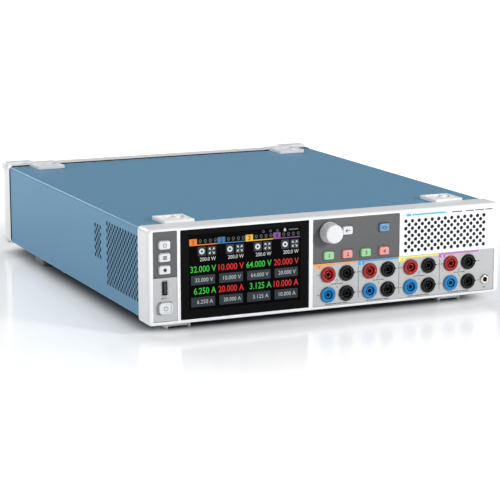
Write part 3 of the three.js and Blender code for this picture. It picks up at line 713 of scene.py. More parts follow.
def pixel_group():
    """The grid of lit points: bricks without a shift in the plane of the screen, pale
    inside and dimmer along their joints."""
    group = bpy.data.node_groups.new("pixel_grid", "ShaderNodeTree")
    pitch = group.interface.new_socket("Pitch", in_out="INPUT", socket_type="NodeSocketFloat")
    pitch.default_value = 0.17
    group.interface.new_socket("Lit", in_out="OUTPUT", socket_type="NodeSocketFloat")
    nodes = group.nodes
    inlet, outlet = nodes.new("NodeGroupInput"), nodes.new("NodeGroupOutput")
    place = nodes.new("ShaderNodeTexCoord")
    split, join = nodes.new("ShaderNodeSeparateXYZ"), nodes.new("ShaderNodeCombineXYZ")
    scale = nodes.new("ShaderNodeMath")
    scale.operation = "DIVIDE"
    scale.inputs[0].default_value = 1000
    bricks = nodes.new("ShaderNodeTexBrick")
    bricks.offset = 0
    bricks.inputs["Mortar Size"].default_value = 0.09
    bricks.inputs["Brick Width"].default_value = 1
    bricks.inputs["Row Height"].default_value = 1
    bricks.inputs["Color1"].default_value = (1, 1, 1, 1)
    bricks.inputs["Color2"].default_value = (0.94, 0.94, 0.94, 1)
    bricks.inputs["Mortar"].default_value = (0.7, 0.7, 0.7, 1)
    wire(group, place.outputs["Object"], split.inputs[0])
    wire(group, split.outputs["X"], join.inputs["X"])
    wire(group, split.outputs["Z"], join.inputs["Y"])
    wire(group, inlet.outputs["Pitch"], scale.inputs[1])
    wire(group, join.outputs[0], bricks.inputs["Vector"])
    wire(group, scale.outputs[0], bricks.inputs["Scale"])
    wire(group, bricks.outputs["Color"], outlet.inputs["Lit"])
    return group


PIXEL_GRID = pixel_group()


def lit(name, colour):
    """A lit area of the screen: the colour times the grid of points."""
    made, tree, shader = new_material(name)
    effect = tree.nodes.new("ShaderNodeGroup")
    effect.node_tree = PIXEL_GRID
    shade = tree.nodes.new("ShaderNodeMix")
    shade.data_type = "RGBA"
    shade.inputs["A"].default_value = (*(0.25 * c for c in colour), 1)
    shade.inputs["B"].default_value = (*colour, 1)
    wire(tree, effect.outputs["Lit"], shade.inputs["Factor"])
    wire(tree, shade.outputs["Result"], shader.inputs["Emission Color"])
    shader.inputs["Base Color"].default_value = (0.004, 0.004, 0.004, 1)
    shader.inputs["Roughness"].default_value = 0.08
    shader.inputs["Specular IOR Level"].default_value = 0.3
    shader.inputs["Emission Strength"].default_value = 1.0
    return made


screen_black = finish(
    "screen_black", (0.0006, 0.0006, 0.0007), (0.0010, 0.0010, 0.0011), (0.05, 0.09),
    grain=(900.0, 0.004), drift=7.0, Specular_IOR_Level=0.03,
)
SCREEN = glass_lo[1] - 2 * INK
lit_area = plate((-141.2, -30.4, 11.6, 80.6), 0.2, SCREEN + INK)
printed("display_area", screen_black, [lit_area])
COLUMN_LEFT, COLUMN_PITCH = -140.6, 27.45
READINGS = (
    ("32.000 V", "6.250 A", "green"), ("10.000 V", "20.000 A", "red"),
    ("64.000 V", "3.125 A", "green"), ("20.000 V", "10.000 A", "red"),
)
tiles, icons, white_lines, pale_lines = [], [], [], []
figures = {"green": [], "red": []}
for n, (volts, amps, state) in enumerate(READINGS):
    x = COLUMN_LEFT + n * COLUMN_PITCH
    tiles += [
        plate((x + 1.5, x + 24.8, 34.3, 43.0), 0.5, SCREEN),
        plate((x + 1.5, x + 24.7, 14.1, 23.0), 0.5, SCREEN),
        plate((x + 8.1, x + 16.0, 60.5, 69.1), 0.9, SCREEN),
        plate((x + 17.6, x + 25.8, 60.4, 68.9), 0.9, SCREEN),
    ]
    icons += [stroke(circle(x + 12.05, 64.8, 1.9), 1.5, SCREEN - INK)]
    for sx, sz in ((1, 1), (-1, 1), (-1, -1), (1, -1)):
        cx, cz = x + 21.7 + 0.9 * sx, 64.65 + 0.9 * sz
        tip = (cx + 1.6 * sx, cz + 1.6 * sz)
        icons.append(stroke([(cx, cz), tip], 0.6, SCREEN - INK))
        icons.append(stroke([(tip[0] - 1.3 * sx, tip[1]), tip], 0.6, SCREEN - 2 * INK))
        icons.append(stroke([(tip[0], tip[1] - 1.3 * sz), tip], 0.6, SCREEN - 2 * INK))
    # Set values stand small on their tiles, measured ones large above; a current of two
    # whole digits runs wider than one of a single digit.
    small_wide, big_wide = (17.0, 25.0) if len(amps) > 7 else (15.5, 21.5)
    for lines, text, right_x, z, tall, wide, weight in (
        (white_lines, "200.0 W", 25.6, 55.8, 3.4, 15.5, 0.0),
        (pale_lines, volts, 22.8, 36.9, 3.6, 17.5, 0.0),
        (pale_lines, amps, 22.7, 16.8, 3.6, small_wide, 0.0),
        (figures[state], volts, 25.8, 45.8, 5.8, 25.0, 0.006),
        (figures[state], amps, 25.6, 25.7, 5.9, big_wide, 0.006),
    ):
        lines.append(glyphs(text, x + right_x, z, tall, SCREEN - INK, wide, "RIGHT", weight))
for name, light, colour, stacks, lines in (
    ("display_tiles", "slate_light", (0.012, 0.024, 0.032), tiles, ()),
    ("display_icons", "icon_light", (0.75, 0.80, 0.82), icons, ()),
    ("display_power", "white_light", (0.70, 0.72, 0.74), (), white_lines),
    ("display_settings", "pale_light", (0.52, 0.55, 0.57), (), pale_lines),
    ("display_green", "green_light", (0.03, 0.62, 0.04), (), figures["green"]),
    ("display_red", "red_light", (0.75, 0.012, 0.015), (), figures["red"]),
):
    printed(name, lit(light, colour), stacks, lines)

TAG_LIGHTS = {
    "orange": (0.90, 0.22, 0.02), "blue": (0.02, 0.18, 0.45),
    "yellow": (0.92, 0.52, 0.03), "purple": (0.24, 0.07, 0.26),
}
tag_figures, status = [], []
for n, (colour, light_colour) in enumerate(TAG_LIGHTS.items()):
    x = COLUMN_LEFT + n * COLUMN_PITCH
    tag_parts = [
        plate((x, x + 7.4, 70.4, 76.5), 0.3, SCREEN),
        plate((x + 7.4, x + 27.2, 70.4, 71.3), 0.1, SCREEN),
    ]
    tag_light = lit(f"{colour}_light", light_colour)
    printed(f"display_tag_{n + 1}", tag_light, tag_parts)
    tag_figures.append(
        glyphs(str(n + 1), x + 3.7, 71.3, 4.4, SCREEN - INK, align="CENTER", weight=0.012)
    )
    for k in range(4):
        ring_x, bar_x = x + 10.6 + 4.9 * k, x + 9.6 + 4.9 * k
        status.append(stroke(circle(ring_x, 74.4, 1.15, steps=9), 0.6, SCREEN))
        status.append(stroke([(bar_x, 72.6), (bar_x + 2.0, 72.6)], 0.4, SCREEN))
STATUS_Z = 78.3
for x in (-69.5, -62.5, -55.5):
    status.append(stroke(circle(x + 1.6, STATUS_Z, 1.0, steps=9), 0.6, SCREEN))
status.append(stroke([(-42.5, STATUS_Z), (-33.0, STATUS_Z)], 1.4, SCREEN))
padlock = [
    plate((-47.6, -45.2, 77.0, 79.0), 0.2, SCREEN),
    stroke(circle(-46.4, 79.0, 0.8, 0, 180, 10), 0.4, SCREEN),
]
tag_figure_light = lit("tag_figure_light", (0.03, 0.02, 0.01))
printed("display_tag_figures", tag_figure_light, lines=tag_figures)
printed("display_status", lit("status_light", (0.10, 0.11, 0.12)), status)
printed("display_padlock", lit("padlock_light", (0.6, 0.6, 0.6)), padlock)

lcd_steel = finish(
    "screen_steel", (0.52, 0.53, 0.54), (0.44, 0.45, 0.47), (0.28, 0.42),
    grain=(1200.0, 0.05), Metallic=1.0,
)


def recoat(node, material):
    """Gives a CAD node's own mesh a better material."""
    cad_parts[node].data.materials[0] = material


recoat("lcd_module", lcd_steel)

# ---- Keys -------------------------------------------------------------------------
# Moulded caps with rounded edges and a slight crown, each on a flange that holds it in
# behind the panel and presses the switch on the board.
def cap_profile(reach, flange=1.1, flange_front=2.9, flange_back=3.9):
    """Flange, side wall, rounded edge and crowned face, as (inset, depth) pairs."""
    slope = [(0, flange_front), (0, 0.3), (0.62, -reach + 0.1), (2.4, -reach)]
    edge = eased(slope, 0.5, 5)
    return [(-flange, flange_back), (-flange, flange_front), *edge, (3.4, -reach - 0.05)]


def key(name, node, material, slot, profile, corner=1.9):
    """A round-cornered push key in place of its node, riding on the node's own body."""
    made = skin(name, rounded(*key_edges(node), corner, profile, steps=6, hold=0.1), smooth=50)
    return fit(made, material, node + "_body", [node])


white_key = finish("white_key_plastic", (0.66, 0.68, 0.70), (0.62, 0.64, 0.67), (0.30, 0.42))
green_key = finish("green_key_plastic", (0.29, 0.56, 0.29), (0.26, 0.52, 0.26), (0.30, 0.42))
red_key = finish("red_key_plastic", (0.70, 0.29, 0.27), (0.66, 0.26, 0.25), (0.30, 0.42))
blue_key = finish("blue_key_plastic", (0.12, 0.28, 0.46), (0.10, 0.25, 0.42), (0.30, 0.42))
legend_ink = ink("legend_ink", (0.03, 0.03, 0.035))

LEFT_REACH, SMALL_REACH = 2.2, 2.0
for node in LEFT_KEYS:
    key(node.replace("key", "cap"), node, white_key, "white_key", cap_profile(LEFT_REACH))
key("back_cap", "back_key", white_key, "white_key", cap_profile(SMALL_REACH))
key("output_cap", "output_key", blue_key, "blue_key", cap_profile(SMALL_REACH))
for n, node in enumerate(CHANNEL_KEYS):
    colour, slot = ((green_key, "green_key"), (red_key, "red_key"))[n % 2]
    key(f"channel_{n + 1}_cap", node, colour, slot, cap_profile(SMALL_REACH))


def legend(node, reach, strokes=(), lines=(), material=legend_ink):
    """The printed sign on a key: strokes about the key's middle, or figures."""
    x, _, z = middle(node)
    face = -reach - 0.05 - INK
    stacks = [stroke(np.array(points) + (x, z), width, face) for points, width in strokes]
    texts = [
        glyphs(text, x, z - tall / 2, tall, face, align="CENTER", weight=0.02)
        for text, tall in lines
    ]
    printed(node.replace("key", "legend"), material, stacks, texts, node + "_body")


house = [
    (-1.9, 0.1), (0, 1.9), (1.9, 0.1), (1.2, 0.1),
    (1.2, -1.5), (-1.2, -1.5), (-1.2, 0.1), (-1.9, 0.1),
]
legend("home_key", LEFT_REACH, [(house, 0.6)])
menu_lines = [([(-1.9, h), (1.9, h)], 0.6) for h in (-1.35, -0.45, 0.45, 1.35)]
legend("menu_key", LEFT_REACH, menu_lines)
teeth = [
    ([(0, 0), (1.9 * math.cos(a), 1.9 * math.sin(a))], 0.7)
    for a in np.arange(0, 6.2, math.pi / 4)
]
legend("settings_key", LEFT_REACH, [(circle(0, 0, 0.75), 1.0), *teeth])
arrow = [([(2.4, 0), (-2.4, 0)], 0.7), ([(-0.7, 1.6), (-2.4, 0), (-0.7, -1.6)], 0.7)]
legend("back_key", SMALL_REACH, arrow)
output_sign = [
    (circle(0, 0, 1.5), 0.6), ([(-3.2, 0), (-1.5, 0)], 0.6), ([(1.5, 0), (3.2, 0)], 0.6),
]
legend("output_key", SMALL_REACH, output_sign)
for n, node in enumerate(CHANNEL_KEYS):
    legend(node, SMALL_REACH, lines=[(str(n + 1), 3.8)])

# The standby key: a raised rim round a sunken face with the power sign.
STANDBY_REACH, STANDBY_FACE = 3.2, 2.5
rim_line = [
    (0, 2.9), (0, -STANDBY_REACH), (1.25, -STANDBY_REACH), (1.6, -STANDBY_FACE),
    (4.2, -STANDBY_FACE),
]
standby_profile = [(-1.1, 3.9), (-1.1, 2.9), *eased(rim_line, 0.5, 4)]
key("standby_cap", "standby_key", white_key, "white_key", standby_profile, corner=3.0)
legend(
    "standby_key", STANDBY_FACE - 0.05,
    [(circle(0, -0.2, 1.9, 120, 420), 0.6), ([(0, 0.2), (0, 2.4)], 0.6)],
    material=ink("standby_ink", (0.12, 0.13, 0.16)),
)

# ---- Knob and encoder -------------------------------------------------------------
# A finely fluted moulded knob on the shaft of an encoder that also clicks when pressed.
def turned(profile, x, z, sides=40, flutes=0, depth=()):
    """A (radius, depth) profile turned round an axis that runs front to back. A row with
    a flute depth has its radius waved that much, so many times round."""
    radius, way = np.array(profile, float).T[:, :, None]
    angle = np.linspace(0, 2 * math.pi, sides, endpoint=False)
    if flutes:
        radius = radius - np.array(depth)[:, None] * (0.5 + 0.5 * np.cos(flutes * angle))
    across, up_way = radius * np.cos(angle), radius * np.sin(angle)
    return np.stack([x + across, way + 0 * angle, z + up_way], -1)


knob_lo, knob_hi = span("rotary_knob")
BASE_RADIUS, FACE_RADIUS = (knob_hi[0] - knob_lo[0]) / 2, 8.9
knob_back, knob_face = knob_hi[1], knob_lo[1]
skirt = [(BASE_RADIUS - 0.3, knob_back), (BASE_RADIUS, knob_back - 0.5)]
grip_start = (BASE_RADIUS - 0.02, knob_back - 1.0)
grip = np.linspace(grip_start, (FACE_RADIUS + 0.1, knob_face + 2.6), 5)
nose_line = [
    (FACE_RADIUS, knob_face + 2.0), (FACE_RADIUS - 0.5, knob_face + 0.15), (4.0, knob_face),
]
nose = eased(nose_line, 1.5, 5)
knob_rows = [(3.1, knob_face + 3), (3.1, knob_back), *skirt, *grip, *nose, (2.0, knob_face)]
# The flutes run out at both ends of the grip.
FLUTES = 40
flute_depth = np.zeros(len(knob_rows))
flute_depth[4:10] = (0.1, 0.5, 0.5, 0.5, 0.5, 0.12)
knob_stack = turned(knob_rows, knob_x, knob_z, 6 * FLUTES, FLUTES, flute_depth)
knob_plastic = finish(
    "knob_plastic", (0.68, 0.69, 0.70), (0.63, 0.64, 0.66), (0.34, 0.46),
    grain=(3500.0, 0.12),
)
knob_cap = skin("knob_cap", knob_stack, smooth=50)
fit(knob_cap, knob_plastic, "knob", ["rotary_knob"])
steel = finish(
    "turned_steel", (0.62, 0.61, 0.59), (0.55, 0.54, 0.52), (0.22, 0.34),
    grain=(900.0, 0.04), Metallic=1.0,
)
black_moulding = finish(
    "black_moulding", (0.020, 0.021, 0.023), (0.014, 0.015, 0.016), (0.38, 0.5)
)
recoat("encoder_shaft", steel)
recoat("encoder_plunger", black_moulding)
recoat("encoder_body", black_moulding)

# ---- Serial port ------------------------------------------------------------------
# A stamped steel shell on end, with a black tongue that carries four metal contacts, their
# colour darkened as a painted shade for the inside of the port.
port_edges = (usb_lo[0], usb_hi[0], usb_lo[2], usb_hi[2])
front, rear = usb_lo[1], usb_hi[1]
WALL = 0.4
shell_rows = [
    (0, rear), (0, front + 0.1), (0.1, front),
    (WALL - 0.05, front), (WALL, front + 0.1), (WALL, rear - 2),
]
port_shell = skin("port_shell", rounded(*port_edges, 0.6, shell_rows, steps=4, hold=0.1))
fit(port_shell, steel, stands_for=["usb_socket"])
inner = (usb_lo[0] + 2.6, usb_hi[0] - 0.7, usb_lo[2] + 1.1, usb_hi[2] - 1.1)
lining = [(0, rear - 2.2), (0, rear - 3), (0.2, rear - 3.2)]
floor_edges = (usb_lo[0] + 0.45, usb_hi[0] - 0.45, usb_lo[2] + 0.45, usb_hi[2] - 0.45)
tongue = [
    rounded(*inner, 0.3, [(0, rear - 2.2), (0, 1.3), (0.3, 1.0)], steps=3, hold=0.1),
    rounded(*floor_edges, 0.3, lining, steps=3, hold=0.1),
]
fit(skin("port_tongue", *tongue), black_moulding)
finger_edges = (inner[0] - 0.25, inner[0] + 0.35)
fingers = [
    plate((*finger_edges, port_z + h - 0.5, port_z + h + 0.5), 0.1, 1.6, 8.0)
    for h in (-4.0, -1.3, 1.3, 4.0)
]
# The contacts are metal, but their colour is darkened: painted shade for the inside of the
# port.
port_metal = finish(
    "port_contact", (0.10, 0.10, 0.10), (0.07, 0.07, 0.07), (0.3, 0.42),
    grain=(900.0, 0.03), Metallic=1.0,
)
fit(skin("port_contacts", *fingers), port_metal)

# ---- Output sockets ---------------------------------------------------------------
# Sixteen shrouded safety sockets: a coloured flange moulded in one with a body that
# goes through the front, a ring groove, and a centre sleeve over a gilt contact tube.
gilt = finish(
    "contact_gilt", (0.80, 0.62, 0.32), (0.72, 0.55, 0.28), (0.2, 0.32),
    grain=(900.0, 0.03), Metallic=1.0,
)
SOCKET_SHADES = {
    "red": ((0.30, 0.010, 0.007), (0.26, 0.008, 0.006), 0.3),
    "blue": ((0.003, 0.19, 0.46), (0.003, 0.16, 0.40), 0.3),
    "black": ((0.004, 0.004, 0.004), (0.003, 0.003, 0.003), 0.18),
}
SOCKET_PLASTICS = {
    colour: finish(
        f"socket_{colour}_plastic", light, dark, (0.20, 0.32), Specular_IOR_Level=shine
    )
    for colour, (light, dark, shine) in SOCKET_SHADES.items()
}
flange_rows = [
    (5.7, 18), (5.7, 0.1), (7.5, 0.1), (7.5, -1.15), (6.9, -1.7), (4.6, -1.7), (4.3, -1.4),
    (4.3, 4.0), (3.1, 4.0), (3.1, -0.7), (2.05, -0.7), (2.05, 15),
]
socket_rows = eased(flange_rows, 0.3, 3)
contacts = []
for name in SOCKETS:
    x, _, z = middle(name)
    kind = next(k for k in ("sense_plus", "sense_minus", "plus", "minus") if k in name)
    colour = SOCKET_KINDS[kind]
    stacks = [turned(socket_rows, x, z, 40)]
    if colour == "black":
        nib = (x + 6.8, x + 8.6, z - 0.75, z + 0.75)
        nib_rows = [(0, 0.35), (0, -0.6), (0.3, -0.9)]
        stacks.append(rounded(*nib, 0.5, nib_rows, steps=3, hold=0.05))
    jack = skin(name.replace("socket", "jack"), *stacks, smooth=45)
    fit(jack, SOCKET_PLASTICS[colour], stands_for=[name])
    tube = [(1.95, 14.9), (1.95, 9.6), (1.6, 9.4), (1.6, 13)]
    contacts.append(turned(tube, x, z, 20))
fit(skin("socket_contacts", *contacts), gilt)

# The earth socket is bare nickel-plated brass with a plain hole.
earth_line = [
    (3.2, 16), (3.2, 0.1), (4.7, 0.1), (4.7, -0.6),
    (3.7, -1.4), (2.5, -1.4), (2.0, -0.9), (2.0, 13),
]
bright_nickel = finish(
    "bright_nickel", (0.72, 0.69, 0.63), (0.64, 0.61, 0.56), (0.14, 0.26),
    grain=(700.0, 0.03), Metallic=1.0,
)
earth_stack = turned(eased(earth_line, 0.25, 3), earth_x, earth_z, 40)
earth_post = skin("earth_post", earth_stack, smooth=45)
fit(earth_post, bright_nickel, stands_for=["earth_socket"])

# ---- Sleeve -----------------------------------------------------------------------
# One folded steel sheet, powder coated blue, that slides over the chassis from behind.
# Each side is punched with two staggered fields of round holes, with a near-black sheet behind
# them as a painted shade.
sleeve_lo, sleeve_hi = span("case_sleeve")
SHEET = 0.45
outer = (sleeve_lo[0], sleeve_hi[0], sleeve_lo[2], sleeve_hi[2])
front, rear = sleeve_lo[1], sleeve_hi[1]
tube_rows = [
    (0, front + 0.2), (0.2, front), (SHEET - 0.1, front), (SHEET, front + 0.2),
    (SHEET, rear - 0.2), (SHEET - 0.1, rear), (0.2, rear), (0, rear - 0.2),
]
sleeve = skin("sleeve", rounded(*outer, 2.2, tube_rows, steps=8, hold=0.4), loop=True)


def cross_rods(radius, reach, centres, sides=12):
    """Round rods across the cabinet, one at each centre (y, z), as long as the reach."""
    angle = np.linspace(0, 2 * math.pi, sides, endpoint=False)
    loop = np.stack([0 * angle, radius * np.cos(angle), radius * np.sin(angle)], -1)
    stack = loop + np.array([(-reach, 0, 0), (reach, 0, 0)])[:, None]
    centres = np.array(centres, float)
    offsets = np.concatenate([0 * centres[:, :1], centres], 1)
    return stack[None] + offsets[:, None, None]


main_field = staggered(29.7, 76.3, 7.28, 7.13, 12, 9)
small_field = staggered(128.9, 69.4, 7.3, 7.2, 3, 5)
VENT_RADIUS = 2.2
vent_places = np.concatenate([main_field, small_field])
vents = cross_rods(VENT_RADIUS, sleeve_hi[0] + 5, vent_places)
carve(sleeve, skin("vents", vents))
blue_paint = finish(
    "blue_powder_coat", (0.132, 0.290, 0.436), (0.129, 0.285, 0.430), (0.36, 0.38),
    grain=(1500.0, 0.10), drift=5.0, IOR=1.13,
)
fit(sleeve, blue_paint, stands_for=["case_sleeve"])
zinc = finish(
    "zinc_sheet", (0.46, 0.47, 0.48), (0.36, 0.37, 0.39), (0.3, 0.45),
    grain=(700.0, 0.05), drift=160.0, Metallic=1.0,
)
recoat("chassis_tray", zinc)
# A thin near-black sheet lines each side behind its vents: a painted shade for the dark inside
# seen through them.
vent_shade_sheet = finish(
    "vent_shade_sheet", (0.010, 0.010, 0.011), (0.007, 0.007, 0.008), (0.85, 0.95),
    grain=(3000.0, 0.3),
)
VENT_SHADE_OUTLINE = ((26, 10), (152, 10), (152, 82), (26, 82))
for side, x0 in (
    ("left", sleeve_lo[0] + SHEET + 0.03), ("right", sleeve_hi[0] - SHEET - 0.53),
):
    sheet = np.array([(x0, y, z) for y, z in VENT_SHADE_OUTLINE], float)
    screen = skin(f"vent_painted_shade_{side}", np.stack([sheet, sheet + (0.5, 0, 0)]))
    fit(screen, vent_shade_sheet)

# ---- Rests on the roof ------------------------------------------------------------
# Shallow white trays, screwed down through the sleeve, that take the feet of a unit
# stacked on top: a rim, a pocket, a key block at its rear and two screw holes.
REST_RIM, REST_POCKET = 3.0, 1.8
rest_white = finish("rest_white", (0.90, 0.90, 0.90), (0.86, 0.86, 0.87), (0.34, 0.46))


def flat_block(x0, x1, y0, y1, radius, profile, steps=5):
    """A rounded rectangle in plan for each (inset, height) pair: the front-facing form
    laid on its back, with depth and height changed over."""
    return rounded(x0, x1, y0, y1, radius, profile, steps, 0.1)[..., [0, 2, 1]]


def rest_solids(name, x0, x1, y0, y1, z0, z1):
    """A stacking rest, with the tools that hollow its pocket and drill its two holes."""
    rows = [(0, z0), *eased([(0, z0), (0, z1), (2, z1)], 0.5)[1:]]
    body = skin(name, flat_block(x0, x1, y0, y1, 1.2, rows))
    pocket_edges = (x0 + REST_RIM, x1 - REST_RIM, y0 + REST_RIM, min(y1, y0 + 31) - REST_RIM)
    floor_z = z1 - REST_POCKET
    pocket_rows = [(0.3, floor_z), (0, floor_z + 0.4), (0, z1 + 1)]
    pocket = skin(name + "_pocket", flat_block(*pocket_edges, 1.0, pocket_rows))
    x, y = (x0 + x1) / 2, y0 + 15.5
    angle = np.linspace(0, 2 * math.pi, 14, endpoint=False)
    hole = np.stack([1.5 * np.cos(angle), 1.5 * np.sin(angle), 0 * angle], -1)
    stack = hole + np.array([(0, 0, floor_z - 1.0), (0, 0, z1 + 1)])[:, None]
    drill = skin(name + "_drill", stack + (x - 2, y + 7.5, 0), stack + (x + 4, y - 6.5, 0))
    return body, pocket, drill


for side in ("left", "right"):
    lo, hi = span(f"top_rest_{side}")
    sides = (lo[0], hi[0], lo[1], hi[1], lo[2], hi[2])
    body, pocket, drill = rest_solids(f"roof_rest_{side}", *sides)
    carve(body, pocket, drill)
    block_edges = (hi[0] - 10, hi[0] - 3.2, hi[1] - 9, hi[1] - 3.2)
    block_rows = [(0, hi[2] - 2), (0, hi[2] - 0.6), (0.3, hi[2] - 0.3)]
    block = flat_block(*block_edges, 0.8, block_rows, 3)
    carve(body, skin("key_block", block), operation="UNION")
    bevel(body, 0.2)
    fit(body, rest_white, stands_for=[f"top_rest_{side}"])

# ---- Rear frame -------------------------------------------------------------------
# The white frame that closes the sleeve from behind: a deep ring with rounded edges, a
# bumper at each corner to stand the unit on its back, and two more stacking rests.
RING = (-180.0, 180.0, 2.5, 87.5)
RING_FRONT, RING_BACK, BUMPER_BACK = 420.0, 443.0, 447.0
ring_line = [(0.6, RING_FRONT), (0, RING_FRONT + 0.6), (0, RING_BACK), (5, RING_BACK)]
rear_frame = skin("back_frame", rounded(*RING, 5.0, eased(ring_line, 1.6, 4)))
through_rows = [(0, RING_FRONT - 1), (0, RING_BACK - 1.2), (-1.4, RING_BACK + 0.4)]
through = skin("ring_through", rounded(-170, 170, 9, 81, 4.0, through_rows))
recess_rows = [(0, RING_FRONT - 1), (0, 422.4)]
recess = skin("ring_recess", rounded(-177, 177, 5.6, 84.4, 1.5, recess_rows))
bumper_rows = eased([(1.5, 433.4), (0, 435.4), (0, BUMPER_BACK), (3, BUMPER_BACK)], 1.3, 4)
bumpers = []
for x0 in (-181.0, 148.0):
    for z0, z1 in ((0.6, 9.5), (80.5, 89.4)):
        bumpers.append(rounded(x0, x0 + 33, z0, z1, 3.0, bumper_rows))
carve(rear_frame, through, recess)
carve(rear_frame, skin("bumpers", *bumpers), operation="UNION")
for side, x in (("left", -142.5), ("right", 142.5)):
    body, pocket, drill = rest_solids(f"rear_rest_{side}", x - 15, x + 15, 389, 430, 86.7, 90.0)
    carve(rear_frame, body, operation="UNION")
    carve(rear_frame, pocket, drill)
bevel(rear_frame, 0.25)
fit(rear_frame, white_moulding, stands_for=["rear_frame"])

# A dark strip lies in the joint between the sleeve and each frame: painted shade for the groove
# there.
joint_shade_finish = finish(
    "joint_painted_shade", (0.030, 0.032, 0.034), (0.022, 0.023, 0.025), (0.8, 0.95),
    grain=(3000.0, 0.3),
)
joint_shades = (
    ("rear_joint_seal", RING, 5.0, -0.04, rear + 0.02, RING_FRONT + 1.8),
    ("front_joint_seal", outer, 2.0, 1.4, 24.4, front + 1.0),
)
for name, edges, radius, inset, y0, y1 in joint_shades:
    joint_shade_rows = [(inset, y0), (inset, y1), (inset + 1, y1), (inset + 1, y0)]
    strip = skin(name, rounded(*edges, radius, joint_shade_rows, steps=5), loop=True)
    fit(strip, joint_shade_finish)

# ---- Feet and tilt legs -----------------------------------------------------------
# Grey moulded feet screwed under the sleeve. The front ones are two cheeks and a roof
# with a folding leg between them, which stands the unit at a slope.
# Both light greys are paler than the feet's own grey: painted light, for the front light that
# the bezel keeps off them.
foot_plastic = finish("foot_plastic", (0.84, 0.84, 0.84), (0.79, 0.79, 0.80), (0.42, 0.55))
leg_plastic = finish("leg_plastic", (0.80, 0.80, 0.80), (0.75, 0.75, 0.76), (0.42, 0.55))
rear_foot_plastic = finish(
    "rear_foot_plastic", (0.22, 0.22, 0.225), (0.18, 0.18, 0.185), (0.5, 0.62)
)
rubber = finish(
    "foot_rubber", (0.045, 0.046, 0.048), (0.036, 0.037, 0.038), (0.7, 0.85),
    grain=(2600.0, 0.2),
)


def side_prism(outline, x0, x1):
    """An outline of (y, z) points carried straight across from one x to another."""
    outline = np.array(outline, float)
    across = np.array([x0, x1])[:, None]
    y, z = outline.T
    return np.stack([across + 0 * y, y + 0 * across, z + 0 * across], -1)


FOOT_CHEEK, FOOT_ROOF = 2.4, 2.2
for side in ("left", "right"):
    lo, hi = span(f"front_foot_{side}")
    rows = [(0.9, lo[2]), (0.3, lo[2] + 0.25), (0, lo[2] + 0.9), (0, hi[2])]
    foot = skin(f"foot_{side}", flat_block(lo[0], hi[0], lo[1], hi[1], 2.0, rows))
    x0, x1 = lo[0] + FOOT_CHEEK, hi[0] - FOOT_CHEEK
    well_rows = [(0, lo[2] - 1), (0, hi[2] - FOOT_ROOF)]
    well = flat_block(x0, x1, lo[1] - 3, hi[1] - 3, 0.6, well_rows, 3)
    carve(foot, skin("foot_well", well))
    bevel(foot, 0.25)
    fit(foot, foot_plastic, stands_for=[f"front_foot_{side}"])
    leg_lo, leg_hi = span(f"tilt_leg_{side}")
    pivot_y, pivot_z = lo[1] + 3.4, lo[2] + 3.9
    angle = np.radians(np.linspace(-90, -180, 7))
    nose_arc = np.stack([pivot_y + 2.4 * np.cos(angle), pivot_z + 2.2 * np.sin(angle)], 1)
    heel, tip, ridge = leg_lo[1], leg_hi[1], leg_hi[2]
    # Sole, heel, ridge over the pivot, then the arm with its finger notch, and the tip.
    profile = [
        (tip - 0.6, pivot_z - 2.2), *nose_arc[:1], (heel + 0.5, pivot_z - 2.2),
        (heel, pivot_z - 1.7), (heel, ridge - 0.6), (heel + 0.6, ridge),
        (pivot_y - 0.5, ridge), (pivot_y, ridge - 0.5), (pivot_y, pivot_z + 2.3),
        (pivot_y + 1.6, pivot_z + 1.8), (pivot_y + 2.4, pivot_z + 1.2),
        (tip - 6.0, pivot_z + 1.2), (tip - 5.4, pivot_z + 0.7), (tip - 4.4, pivot_z + 0.7),
        (tip - 3.8, pivot_z + 1.2), (tip - 0.6, pivot_z + 1.2), (tip, pivot_z + 0.6),
        (tip, pivot_z - 1.6),
    ]
    leg = skin(f"leg_{side}", side_prism(profile, leg_lo[0], leg_hi[0]), smooth=30)
    angle = np.linspace(0, 2 * math.pi, 20, endpoint=False)
    bore = [(pivot_y + 1.15 * math.cos(a), pivot_z + 1.15 * math.sin(a)) for a in angle]
    carve(leg, skin("leg_bore", side_prism(bore, leg_lo[0] - 1, leg_hi[0] + 1)))
    bevel(leg, 0.3)
    fit(leg, leg_plastic, f"leg_{side}", [f"tilt_leg_{side}"])
    pin = [(pivot_y + 1.0 * math.cos(a), pivot_z + 1.0 * math.sin(a)) for a in angle]
    fit(skin(f"leg_pin_{side}", side_prism(pin, lo[0] + 1, hi[0] - 1)), steel)
    lo, hi = span(f"rear_foot_{side}")
    rows = [(1.6, lo[2] + 0.3), (0.6, lo[2] + 0.6), (0, lo[2] + 2.0), (0, hi[2] - 0.1)]
    block = skin(f"back_foot_{side}", flat_block(lo[0], hi[0], lo[1], hi[1], 3.0, rows))
    fit(bevel(block, 0.2), rear_foot_plastic, stands_for=[f"rear_foot_{side}"])
    rows = [(0.6, lo[2]), (0, lo[2] + 0.3), (0, lo[2] + 1.0)]
    pad_edges = (lo[0] + 4, hi[0] - 4, lo[1] + 4, hi[1] - 4)
    pad = skin(f"back_foot_pad_{side}", flat_block(*pad_edges, 2.0, rows))
    fit(pad, rubber)

# ---- Rear panel -------------------------------------------------------------------
# The zinc plate across the back: screws, a wire guard over the fan, the mains inlet with
# its rocker, the plug-in output terminals, and a network and a serial port.
recoat("rear_panel", zinc)
PLATE_BACK = span("rear_panel")[1][1]


def screw_head(x, z, y, radius=2.6, high=1.7):
    """A domed screw head with a hexagon well, seen from behind."""
    dome_line = [
        (radius, y), (radius, y + 0.3 * high),
        (0.75 * radius, y + 0.8 * high), (0.45 * radius, y + high),
    ]
    head = turned([(radius, y - 0.5), *eased(dome_line, 0.5, 3)], x, z, 20)
    return head, rods(0.42 * radius, (y + 0.4 * high, y + high + 1), [(x, z)], 6)


